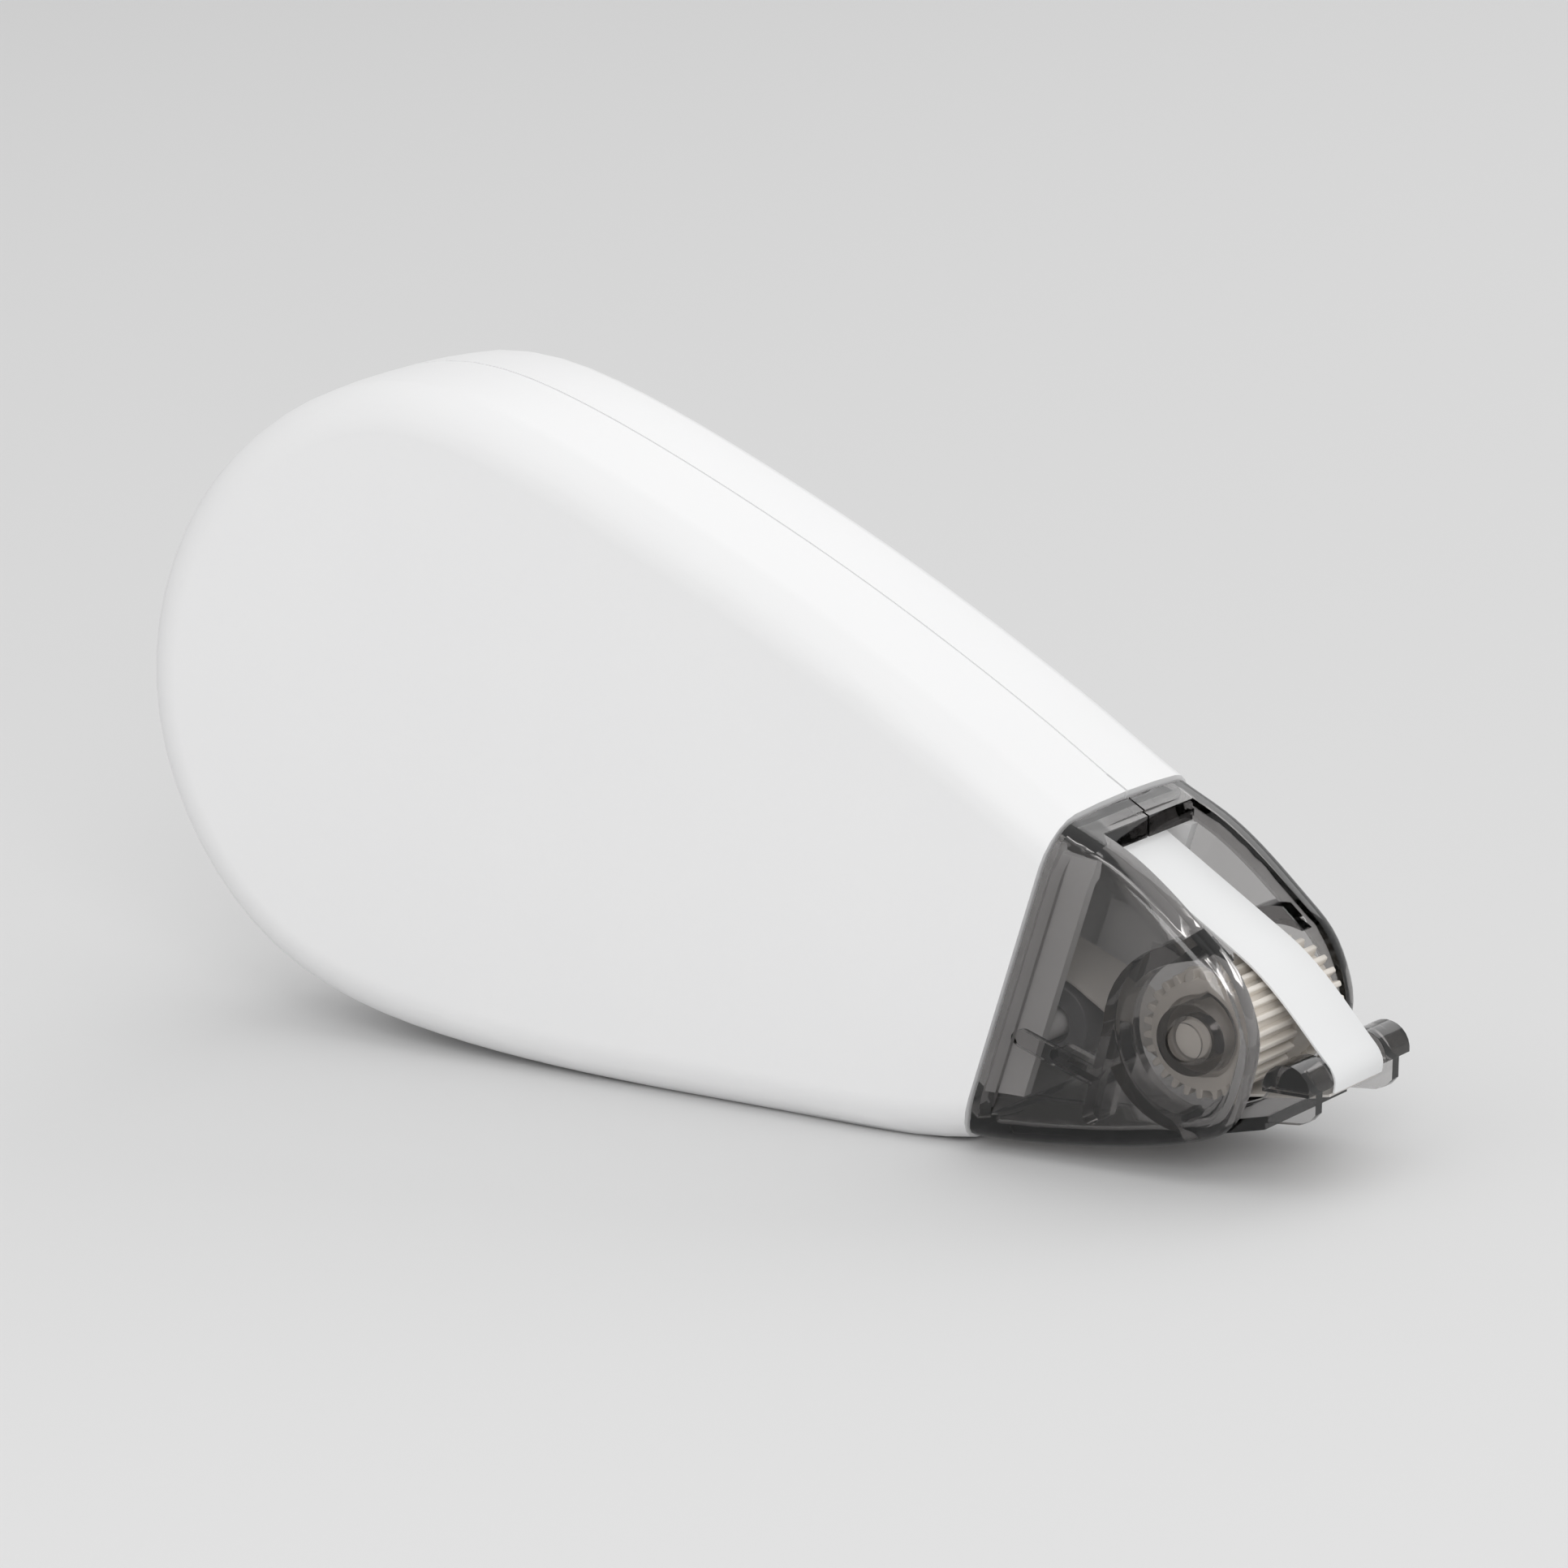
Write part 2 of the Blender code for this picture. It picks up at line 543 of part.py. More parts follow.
def build_cases():
    left = case_half("left_case", -1)
    right = case_half("right_case", 1)
    post_end = CAP_FAR_Y + FIT_GAP
    combine(left, "UNION", rod("supply_post", SUPPLY_AXIS, SUPPLY_POST_RADIUS, -ANCHOR_Y, post_end))
    combine(left, "UNION", rod("take_up_post", TAKE_UP_AXIS, TAKE_UP_POST_RADIUS, -ANCHOR_Y, post_end))
    roller_root = TONGUE_OUTER_Y - TONGUE_THICKNESS / 2
    combine(left, "UNION", rod("roller_post", ROLLER_AXIS, ROLLER_PIN_RADIUS, -roller_root, CORE_END_Y, 24))
    bore = PEG_TIP_RADIUS + FIT_GAP
    bore_y = -PEG_TIP_LENGTH - FIT_GAP
    for number, spot in enumerate(PEGS):
        combine(left, "UNION", rod(f"socket_{number}", spot, PEG_RADIUS, -ANCHOR_Y, -SPLIT_GAP / 2, 24))
        combine(left, "DIFFERENCE", rod(f"bore_{number}", spot, bore, bore_y, FIT_GAP, 24))
        combine(right, "UNION", rod(f"peg_{number}", spot, PEG_RADIUS, ANCHOR_Y, SPLIT_GAP, 24))
        tip = rod(f"peg_tip_{number}", spot, PEG_TIP_RADIUS, FIT_GAP * 2, -PEG_TIP_LENGTH, 24)
        combine(right, "UNION", tip)


def rib(start, end, thickness=RIB_THICKNESS):
    """The outline of a straight rib with round ends."""
    heading = math.degrees(math.atan2(end[1] - start[1], end[0] - start[0]))
    half = thickness / 2
    return arc(end, half, heading - 90, heading + 90, 7) + arc(start, half, heading + 90, heading + 270, 7)


def hood_outline(start, end):
    """A ring segment round the winder wheel, between two angles."""
    outer = arc(WINDER_AXIS, HOOD_RADIUS + RIB_THICKNESS, start, end, 23)
    return outer + arc(WINDER_AXIS, HOOD_RADIUS, end, start, 23)


def nose_half(name, side, hood_end):
    """One smoke-grey half: cheek, bridge, floor, collar band, winder boss and hood."""
    cup = half_cup(name, NOSE_LOOP, side, NOSE_INSET, NOSE_WALL, CHEEK_Y, CHEEK_EDGE)
    nose = place(name, narrowed(cup), SMOKE)
    bridge_x = COLLAR_TOP.x + BRIDGE_FRONT
    floor_x = NOSE_MIDDLE.x + FLOOR_FRONT
    step_z = NOSE_MIDDLE.y
    step = [(bridge_x, FAR), (bridge_x, step_z), (floor_x, step_z), (floor_x, -FAR)]
    window = step + [(FAR, -FAR), (FAR, FAR)]
    combine(nose, "DIFFERENCE", slab(name + "_window", [window], -side * FAR, side * WINDOW_WIDTH / 2))
    depth = HALF_WIDTH - COLLAR_INSET
    edge = CASE_EDGE - COLLAR_INSET
    cup = half_cup(name + "_band", CASE_LOOP, side, COLLAR_INSET, COLLAR_WALL, depth, edge, CASE_CROWN)
    band = place(name + "_band", cup)
    combine(band, "INTERSECT", collar_slab(name + "_band_cut", -COLLAR_BAND, COLLAR_BAND, -FAR, FAR))
    combine(nose, "UNION", settled(band))
    snap_y = (side * (ANCHOR_Y - SNAP_DEPTH), side * ANCHOR_Y)
    snap = collar_slab(name + "_snap", -BULKHEAD, COLLAR_BAND, *snap_y, SNAP_LOW, SNAP_HIGH)
    combine(nose, "UNION", snap)
    inner = side * (CHEEK_INNER_Y - RIB_DEPTH)
    root = side * CHEEK_ROOT_Y
    hood = place(name + "_hood", slab(name + "_hood", [hood_outline(HOOD_START, hood_end)], inner, root))
    skin_middle = inset_loop(NOSE_LOOP, NOSE_INSET + NOSE_WALL / 2)
    combine(hood, "INTERSECT", slab(name + "_hood_cut", [skin_middle], 0.0, side * FAR))
    combine(nose, "UNION", narrowed(settled(hood)))
    boss_y = (side * (WINDER_RECESS_Y + FIT_GAP), side * CHEEK_ROOT_Y * nose_width(*WINDER_AXIS))
    combine(nose, "UNION", tube(name + "_boss", WINDER_AXIS, BOSS_BORE, BOSS_RADIUS, *boss_y))
    combine(nose, "DIFFERENCE", collar_slab(name + "_back", -FAR, SPLIT_GAP, -FAR, FAR))
    dimple_y = side * (CHEEK_Y * nose_width(*WINDER_AXIS) - DIMPLE_DEPTH)
    combine(nose, "DIFFERENCE", rod(name + "_dimple", WINDER_AXIS, WINDER_PIN_RADIUS, dimple_y, side * FAR))
    return nose


def build_noses():
    left = nose_half("left_nose", -1, LEFT_HOOD_END)
    root = -CHEEK_ROOT_Y
    tail_top = WINDER_AXIS + Vector((-HOOD_RADIUS - RIB_THICKNESS / 2, 0))
    tail_end = Vector(arc(tail_top, TAIL_LENGTH, TAIL_ANGLE, TAIL_ANGLE, 1)[0])
    tail = slab("left_nose_tail", [rib(tail_top, tail_end)], -CHEEK_INNER_Y + TAIL_DEPTH, root)
    combine(left, "UNION", narrowed(tail))
    strut_start = Vector(collar_point(WINDER_AXIS.y - STRUT_DROP, COLLAR_BAND))
    strut_end = tail_top.lerp(tail_end, STRUT_JOIN)
    strut = slab("left_nose_strut", [rib(strut_start, strut_end)], -CHEEK_INNER_Y + STRUT_DEPTH, root)
    combine(left, "UNION", narrowed(strut))
    past_tongue = TONGUE_REACH - COLLAR_BAND + FIT_GAP + RIB_THICKNESS
    wall_start = strut_start.lerp(strut_end, past_tongue / (strut_end - strut_start).length)
    wall = [rib(wall_start, strut_end, RIB_THICKNESS - FIT_GAP)]
    strut_wall = slab("left_nose_strut_wall", wall, -CHEEK_INNER_Y + STRUT_WALL, root)
    combine(left, "UNION", narrowed(strut_wall))
    right = nose_half("right_nose", 1, RIGHT_HOOD_END)
    pawl_near = CORE_END_Y + PAWL_SIDE_GAP
    cheek = CHEEK_ROOT_Y * nose_width(*PAWL_AXIS)
    combine(right, "UNION", rod("pawl_pin", PAWL_AXIS, PAWL_PIN_RADIUS, pawl_near, cheek, 20))
    shoulder = PAWL_PIN_RADIUS + FIT_GAP + PAWL_HEAD_WALL
    shoulder_y = pawl_near + PAWL_WIDTH + FIT_GAP
    combine(right, "UNION", rod("pawl_shoulder", PAWL_AXIS, shoulder, shoulder_y, cheek, 20))


def gear_outline(axis, teeth, module, phase):
    """Straight-sided teeth round an axis: one tooth's middle is at the phase angle."""
    pitch = 2 * math.pi / teeth
    root = module * (teeth / 2 - TOOTH_FALL)
    tip = module * (teeth / 2 + TOOTH_RISE)
    points = []
    for tooth in range(teeth):
        for radius, share in ((root, -0.29), (tip, -0.13), (tip, 0.13), (root, 0.29)):
            angle = phase + (tooth + share) * pitch
            points.append((axis.x + radius * math.cos(angle), axis.y + radius * math.sin(angle)))
    return points


def drive_wheel(name, axis, teeth, phase, post_radius):
    """A toothed wheel with six lightening holes and a sleeve on its post."""
    bore = post_radius + FIT_GAP
    root = DRIVE_MODULE * (teeth / 2 - TOOTH_FALL)
    ring = (root + bore + HUB_WALL) / 2
    hole = (root - bore - HUB_WALL) / 4
    holes = [circle(spot, hole, 20) for spot in circle(axis, ring, 6)]
    outline = gear_outline(axis, teeth, DRIVE_MODULE, phase)
    plate = slab(name, [outline, circle(axis, bore)] + holes, DRIVE_NEAR_Y, DRIVE_FAR_Y)
    wheel = place(name, plate, CREAM, axis)
    sleeve = tube(name + "_sleeve", axis, bore, bore + HUB_WALL, DRIVE_NEAR_Y + DRIVE_FACE / 2, CORE_END_Y)
    combine(wheel, "UNION", sleeve)


def reel(name, axis, core, roll, wound, disc, finish):
    """A flanged core, the band wound on it and the disc on its far side."""
    outer = core + CORE_WALL
    flange = roll + FLANGE_RISE
    profile = [
        (core, FLANGE_NEAR_Y),
        (flange, FLANGE_NEAR_Y),
        (flange, FLANGE_FAR_Y),
        (outer, FLANGE_FAR_Y),
        (outer, CORE_END_Y),
        (core, CORE_END_Y),
    ]
    place(name + "_reel", turned(name + "_reel", profile, axis, 64), WHITE, axis)
    place(wound, tube(wound, axis, outer + FIT_GAP, roll, -HALF_TAPE, HALF_TAPE, 64), finish, axis)
    place(disc, tube(disc, axis, core, flange, COVER_NEAR_Y, COVER_FAR_Y, 64), CLEAR, axis)


def build_drive():
    """Supply and take-up: geared wheels, slip spring, reels and the caps on the posts."""
    across = TAKE_UP_AXIS - SUPPLY_AXIS
    facing = math.atan2(across.y, across.x)
    half_tooth = math.pi / TAKE_UP_TEETH
    drive_wheel("supply_gear", SUPPLY_AXIS, SUPPLY_TEETH, facing, SUPPLY_POST_RADIUS)
    first, last = 90 + SPRING_MOUTH / 2, 450 - SPRING_MOUTH / 2
    ring = arc(SUPPLY_AXIS, SPRING_OUTER, first, last, 37) + arc(SUPPLY_AXIS, SPRING_INNER, last, first, 37)
    spring = slab("clutch_spring", [ring], -SPRING_LENGTH / 2, SPRING_LENGTH / 2)
    place("clutch_spring", spring, STEEL, SUPPLY_AXIS)
    reel("supply", SUPPLY_AXIS, SUPPLY_CORE, FULL_ROLL_RADIUS, "supply_tape", "supply_cover", TAPE)
    phase = facing + math.pi + half_tooth
    drive_wheel("take_up_gear", TAKE_UP_AXIS, TAKE_UP_TEETH, phase, TAKE_UP_POST_RADIUS)
    reel("take_up", TAKE_UP_AXIS, TAKE_UP_CORE, SPENT_ROLL_RADIUS, "take_up_film", "take_up_flange", FILM)
    supply = ("supply_cap", SUPPLY_AXIS, SUPPLY_POST_RADIUS)
    take_up = ("take_up_clip", TAKE_UP_AXIS, TAKE_UP_POST_RADIUS)
    for name, axis, post in (supply, take_up):
        bore = post + FIT_GAP
        place(name, tube(name, axis, bore, bore + CAP_RIM, CAP_NEAR_Y, CAP_FAR_Y, 40), CREAM)


def build_winder():
    """The toothed wheel: a wide and a narrow rim of teeth, a shallow groove between, a pin at each end."""
    outline = gear_outline(WINDER_AXIS, WINDER_TEETH, WINDER_MODULE, math.pi / 2)
    wheel = slab("winder_gear", [outline], -WINDER_END_Y, WINDER_END_Y)
    winder = place("winder_gear", wheel, CREAM, WINDER_AXIS)
    groove_y = (WINDER_NEAR_RIM - WINDER_END_Y, WINDER_END_Y - WINDER_FAR_RIM)
    drum = WINDER_TIP - WINDER_GROOVE
    groove = tube("winder_groove", WINDER_AXIS, drum, WINDER_TIP + HOOD_GAP, *groove_y)
    combine(winder, "DIFFERENCE", groove)
    recess = BOSS_RADIUS + FIT_GAP
    for side in (-1, 1):
        cut = rod(f"winder_recess_{side}", WINDER_AXIS, recess, side * WINDER_RECESS_Y, side * FAR)
        combine(winder, "DIFFERENCE", cut)
        pin = rod(f"winder_pin_{side}", WINDER_AXIS, WINDER_PIN_RADIUS, 0.0, side * WINDER_PIN_Y)
        combine(winder, "UNION", pin)


def build_guides():
    """The spent film's roller, the pawl behind the winder wheel and the pin that turns the tape down."""
    bore = ROLLER_PIN_RADIUS + FIT_GAP
    roller = tube("return_roller", ROLLER_AXIS, bore, ROLLER_RADIUS, -CORE_END_Y, CORE_END_Y, 40)
    place("return_roller", roller, GREY, ROLLER_AXIS)
    bore = PAWL_PIN_RADIUS + FIT_GAP
    point = arc(WINDER_AXIS, WINDER_TIP + FIT_GAP, PAWL_POINT_ANGLE, PAWL_POINT_ANGLE, 1)[0]
    heading = math.degrees(math.atan2(point[1] - PAWL_AXIS.y, point[0] - PAWL_AXIS.x))
    lever = arc(PAWL_AXIS, bore + PAWL_HEAD_WALL, heading + 60, heading + 300, 21) + [point]
    near = CORE_END_Y + PAWL_SIDE_GAP
    pawl = slab("back_stop_pawl", [lever, circle(PAWL_AXIS, bore, 20)], near, near + PAWL_WIDTH)
    place("back_stop_pawl", pawl, GREY, PAWL_AXIS)
    pin = rod("feed_guide_pin", GUIDE_PIN_AXIS, GUIDE_PIN_RADIUS, -GUIDE_END_Y, GUIDE_END_Y, 24)
    place("feed_guide_pin", pin, STEEL)


def ribbon(name, route, material):
    """A flat band along a route in the XZ plane, as wide as the tape."""
    curve = bpy.data.curves.new(name, "CURVE")
    curve.dimensions = "3D"
    curve.extrude = HALF_TAPE
    spline = curve.splines.new("POLY")
    spline.points.add(len(route) - 1)
    for point, (x, z) in zip(spline.points, route):
        point.co = (x, z, 0, 1)
    band = bpy.data.objects.new(name, curve)
    CUTTERS.objects.link(band)
    band.matrix_world = Matrix.Rotation(math.pi / 2, 4, "X")
    sheet = place(name, settled(band))
    solid = sheet.modifiers.new("thickness", "SOLIDIFY")
    solid.thickness = TAPE_THICKNESS
    solid.offset = 0
    place(name, settled(sheet), material)


def heading(first, first_radius, second, second_radius):
    """The direction, in degrees, of a band that runs from one wheel to the next.

    A radius is positive where the wheel lies to the right of the band and negative where it lies left.
    """
    across = second - first
    along = math.atan2(across.y, across.x)
    return math.degrees(along - math.asin((first_radius - second_radius) / across.length))


def build_tape():
    """The tape's run from the full roll to the tip, and the spent film's run to the spent roll."""
    roll = FULL_ROLL_RADIUS + TAPE_LIFT
    pin = GUIDE_PIN_RADIUS + TAPE_LIFT
    on_pin = heading(SUPPLY_AXIS, roll, GUIDE_PIN_AXIS, pin) + 90
    route = arc(SUPPLY_AXIS, roll, on_pin + 6, on_pin, 3)
    route += arc(GUIDE_PIN_AXIS, pin, on_pin, TAPE_OFF_PIN, 4)
    away = Vector(arc((0, 0), 1.0, TAPE_OFF_PIN - 90, TAPE_OFF_PIN - 90, 1)[0])
    start = Vector(route[-1]) + away * TAPE_LEAD
    route.append(tuple(start))
    end = Vector(arc(BAR_AXIS, TIP_RADIUS, TAPE_ON_BAR, TAPE_ON_BAR, 1)[0])
    reach = (end - start).length / 3
    lead_out = start + away * reach
    lead_in = end - Vector(arc((0, 0), reach, TAPE_ON_BAR - 90, TAPE_ON_BAR - 90, 1)[0])
    for t in np.linspace(0, 1, 15)[1:-1]:
        s = 1 - t
        route.append(tuple(start * s**3 + lead_out * 3 * s * s * t + lead_in * 3 * s * t * t + end * t**3))
    route += arc(BAR_AXIS, TIP_RADIUS, TAPE_ON_BAR, 0, 6)
    fold = BAR_AXIS + Vector((TIP_RADIUS - FOLD_RADIUS, 0))
    route += arc(fold, FOLD_RADIUS, *TAPE_END, 3)
    ribbon("tape_feed", route, TAPE)

    wheel = WINDER_TIP + TAPE_LIFT
    roller = -ROLLER_RADIUS - TAPE_LIFT
    spent = -SPENT_ROLL_RADIUS - TAPE_LIFT
    to_wheel = heading(fold, FOLD_RADIUS, WINDER_AXIS, wheel)
    to_roller = heading(WINDER_AXIS, wheel, ROLLER_AXIS, roller)
    to_roll = heading(ROLLER_AXIS, roller, TAKE_UP_AXIS, spent)
    route = arc(fold, FOLD_RADIUS, FILM_START, to_wheel % 360 + 90, 3)
    route += arc(WINDER_AXIS, wheel, to_wheel % 360 + 90, to_roller % 360 + 90, 7)
    route += arc(ROLLER_AXIS, -roller, to_roller % 360 - 90, to_roll % 360 - 90, 4)
    route += arc(TAKE_UP_AXIS, -spent, to_roll % 360 - 90, to_roll % 360 - 82, 3)
    ribbon("tape_return", route, FILM)


def d_section(axis, radius, drop):
    """A round with a flat underside, a little below its axis."""
    low = math.degrees(math.asin(drop / radius))
    return arc(axis, radius, -low, 180 + low, 15)


def build_head():
    """The tip: a bar that the tape folds round, D-shaped lugs, fins and a floor plate."""
    bar_y = FIN_Y + FIN_THICKNESS
    bar = slab("applicator_head", [d_section(BAR_AXIS, BAR_RADIUS, BAR_FLAT_DROP / 2)], -bar_y, bar_y)
    head = place("applicator_head", bar, SMOKE)
    fin = ((-2.68, -1.8), (-1.0, -1.28), (0.3, -1.16), (0.68, -1.0), (0.93, -0.72), (0.95, 0.2))
    fin += ((-0.75, 0.2), (-1.21, -0.45), (-2.44, -0.94))
    fin = [BAR_AXIS + Vector(point) * TIP_RADIUS for point in fin]
    sole = ((-3.38, -2.09), (-1.09, -1.55))
    plate = [BAR_AXIS + Vector(point) * TIP_RADIUS for point in sole]
    plate += [point + Vector((0, HEAD_FLOOR_THICKNESS)) for point in plate[::-1]]
    for side in (-1, 1):
        lug_y = (side * FIN_Y, side * (FIN_Y + LUG_LENGTH))
        lug = slab(f"lug_{side}", [d_section(BAR_AXIS + LUG_AHEAD, LUG_RADIUS, BAR_FLAT_DROP)], *lug_y)
        combine(head, "UNION", bevelled(lug, LUG_EDGE))
        fin_y = (side * (FIN_Y + FIN_INSET), side * (FIN_Y + FIN_INSET + FIN_THICKNESS))
        combine(head, "UNION", slab(f"fin_{side}", [fin], *fin_y))
    floor_y = WINDOW_WIDTH / 2 - FIN_GAP
    combine(head, "UNION", slab("head_floor", [plate], -floor_y, floor_y))


build_cases()
build_noses()
build_drive()
build_winder()
build_guides()
build_tape()
build_head()
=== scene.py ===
import math

import bmesh
import bpy
from mathutils import Matrix, Vector


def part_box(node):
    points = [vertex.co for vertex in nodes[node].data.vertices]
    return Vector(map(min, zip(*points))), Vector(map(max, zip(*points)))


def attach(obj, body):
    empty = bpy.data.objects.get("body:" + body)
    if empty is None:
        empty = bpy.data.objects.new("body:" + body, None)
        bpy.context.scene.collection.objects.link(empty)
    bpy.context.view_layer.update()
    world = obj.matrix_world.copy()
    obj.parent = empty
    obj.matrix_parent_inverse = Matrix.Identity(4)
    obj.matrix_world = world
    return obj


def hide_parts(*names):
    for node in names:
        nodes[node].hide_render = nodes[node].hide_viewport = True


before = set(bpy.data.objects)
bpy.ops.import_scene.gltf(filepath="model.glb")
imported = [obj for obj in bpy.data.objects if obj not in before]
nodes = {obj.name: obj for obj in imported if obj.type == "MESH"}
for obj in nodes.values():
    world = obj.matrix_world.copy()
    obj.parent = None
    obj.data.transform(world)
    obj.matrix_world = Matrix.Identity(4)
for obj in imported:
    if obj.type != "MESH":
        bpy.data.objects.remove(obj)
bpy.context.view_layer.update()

MM = 0.001


# White case: two half shells of satin ABS, pegged together along the middle of the edge.
# The mould leaves a fine spark-eroded grain on the skin and a small round on every edge.
# A bead on the left half's rim fills the parting line, so that only a shallow groove shows.

EDGE_ANGLE = math.radians(38)
CASE_EDGE_ROUND = 0.16 * MM
PARTING_SHARE = 0.25
PARTING_REACH = 0.3 * MM
BEAD_DEPTH = 0.05 * MM
BEAD_HEIGHT = 0.8 * MM
BEAD_WIDTH = 0.17 * MM
BEAD_CORNER = 0.03 * MM
BEAD_STEP = 0.8 * MM
RIM_LEVEL = -0.1 * MM
EDGE_STEPS = 2
NODE_WELD = 0.002 * MM
FOLD_ANGLE = math.radians(179.5)
FLAT_LIMIT = math.cos(math.radians(0.5))
FLATTEN_ANGLE = math.radians(0.4)


def refilled(shape, start):
    """A skin with one of its flats filled anew from the outline, where triangles lie over each other."""
    flat = {start}
    front = [start]
    while front:
        for edge in front.pop().edges:
            for other in edge.link_faces:
                if other not in flat and abs(other.normal.dot(start.normal)) > FLAT_LIMIT:
                    flat.add(other)
                    front.append(other)
    old = [face for face in shape.faces if face in flat]
    facing = sum((face.normal * face.calc_area() for face in old), Vector())
    outline = [edge for edge in shape.edges if sum(face in flat for face in edge.link_faces) == 1]
    bmesh.ops.delete(shape, geom=old, context="FACES")
    bmesh.ops.triangle_fill(shape, use_beauty=True, edges=outline, normal=facing.normalized())


def joined(node):
    """A node's loose triangles as one skin, ready for editing."""
    shape = bmesh.new()
    shape.from_mesh(nodes[node].data)
    bmesh.ops.remove_doubles(shape, verts=shape.verts, dist=NODE_WELD)
    folded = next((edge for edge in shape.edges if edge.calc_face_angle(0.0) > FOLD_ANGLE), None)
    if folded:
        refilled(shape, folded.link_faces[0])
    return shape


def shown(name, mesh):
    """A mesh as an object of the scene, at the origin."""
    piece = bpy.data.objects.new(name, mesh)
    bpy.context.scene.collection.objects.link(piece)
    return piece


def settled(piece):
    """The piece with its modifiers turned into a plain mesh."""
    bpy.context.view_layer.update()
    graph = bpy.context.evaluated_depsgraph_get()
    mesh = bpy.data.meshes.new_from_object(piece.evaluated_get(graph))
    piece.modifiers.clear()
    piece.data = mesh
    return piece


def eased(piece, width, limit="ANGLE"):
    """The piece with small rounds on its sharp edges and even shading on its flats."""
    piece.data.shade_smooth()
    bevel = piece.modifiers.new("eased edge", "BEVEL")
    bevel.width = width
    bevel.segments = EDGE_STEPS
    bevel.limit_method = limit
    bevel.angle_limit = EDGE_ANGLE
    bevel.harden_normals = False
    even = piece.modifiers.new("even flats", "WEIGHTED_NORMAL")
    even.keep_sharp = True
    return settled(piece)


def skin_of(node, width):
    """A copy of a node as one skin, its edges eased, and eased less where the two halves meet."""
    shape = joined(node)
    bmesh.ops.dissolve_limit(shape, angle_limit=FLATTEN_ANGLE, verts=shape.verts, edges=shape.edges)
    weight = shape.edges.layers.float.new("bevel_weight_edge")
    for edge in shape.edges:
        if edge.is_manifold and edge.calc_face_angle() > EDGE_ANGLE:
            at_parting = all(abs(vert.co.y) < PARTING_REACH for vert in edge.verts)
            edge[weight] = PARTING_SHARE if at_parting else 1.0
    mesh = bpy.data.meshes.new(node + "_skin")
    shape.to_mesh(mesh)
    shape.free()
    return eased(shown(node + "_skin", mesh), width, "WEIGHT")


def dress(piece, material, body, slot, *replaced):
    """A finished piece takes its material, rides on its body and stands for the nodes it covers."""
    piece.data.materials.clear()
    piece.data.materials.append(material)
    if replaced:
        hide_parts(*replaced)
    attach(piece, body)


FLOW_DETAIL = 3.0
GRAIN_DETAIL = 2.0
GRAIN_MIDDLE = 0.5


def moulding_grain():
    """Shared grain of moulded plastic: slow flow shading, fine spark grain and its height."""
    group = bpy.data.node_groups.new("moulding_grain", "ShaderNodeTree")
    inputs = (
        ("Colour", "NodeSocketColor"), ("Flow Colour", "NodeSocketColor"), ("Roughness", "NodeSocketFloat"),
        ("Spread", "NodeSocketFloat"), ("Grain", "NodeSocketFloat"), ("Flow", "NodeSocketFloat"),
    )
    for name, kind in inputs:
        group.interface.new_socket(name, in_out="INPUT", socket_type=kind)
    group.interface.new_socket("Colour", in_out="OUTPUT", socket_type="NodeSocketColor")
    for name in ("Roughness", "Height"):
        group.interface.new_socket(name, in_out="OUTPUT", socket_type="NodeSocketFloat")
    tree = group.nodes
    link = group.links.new
    taken = tree.new("NodeGroupInput")
    given = tree.new("NodeGroupOutput")
    place = tree.new("ShaderNodeTexCoord")
    flow = tree.new("ShaderNodeTexNoise")
    flow.inputs["Detail"].default_value = FLOW_DETAIL
    link(place.outputs["Object"], flow.inputs["Vector"])
    link(taken.outputs["Flow"], flow.inputs["Scale"])
    grain = tree.new("ShaderNodeTexNoise")
    grain.inputs["Detail"].default_value = GRAIN_DETAIL
    link(place.outputs["Object"], grain.inputs["Vector"])
    link(taken.outputs["Grain"], grain.inputs["Scale"])
    tint = tree.new("ShaderNodeMix")
    tint.data_type = "RGBA"
    link(flow.outputs["Fac"], tint.inputs["Factor"])
    link(taken.outputs["Colour"], tint.inputs["A"])
    link(taken.outputs["Flow Colour"], tint.inputs["B"])
    link(tint.outputs["Result"], given.inputs["Colour"])
    swing = tree.new("ShaderNodeMath")
    swing.operation = "SUBTRACT"
    swing.inputs[1].default_value = GRAIN_MIDDLE
    link(grain.outputs["Fac"], swing.inputs[0])
    rough = tree.new("ShaderNodeMath")
    rough.operation = "MULTIPLY_ADD"
    link(swing.outputs[0], rough.inputs[0])
    link(taken.outputs["Spread"], rough.inputs[1])
    link(taken.outputs["Roughness"], rough.inputs[2])
    link(rough.outputs[0], given.inputs["Roughness"])
    link(grain.outputs["Fac"], given.inputs["Height"])
    return group


GRAIN = moulding_grain()


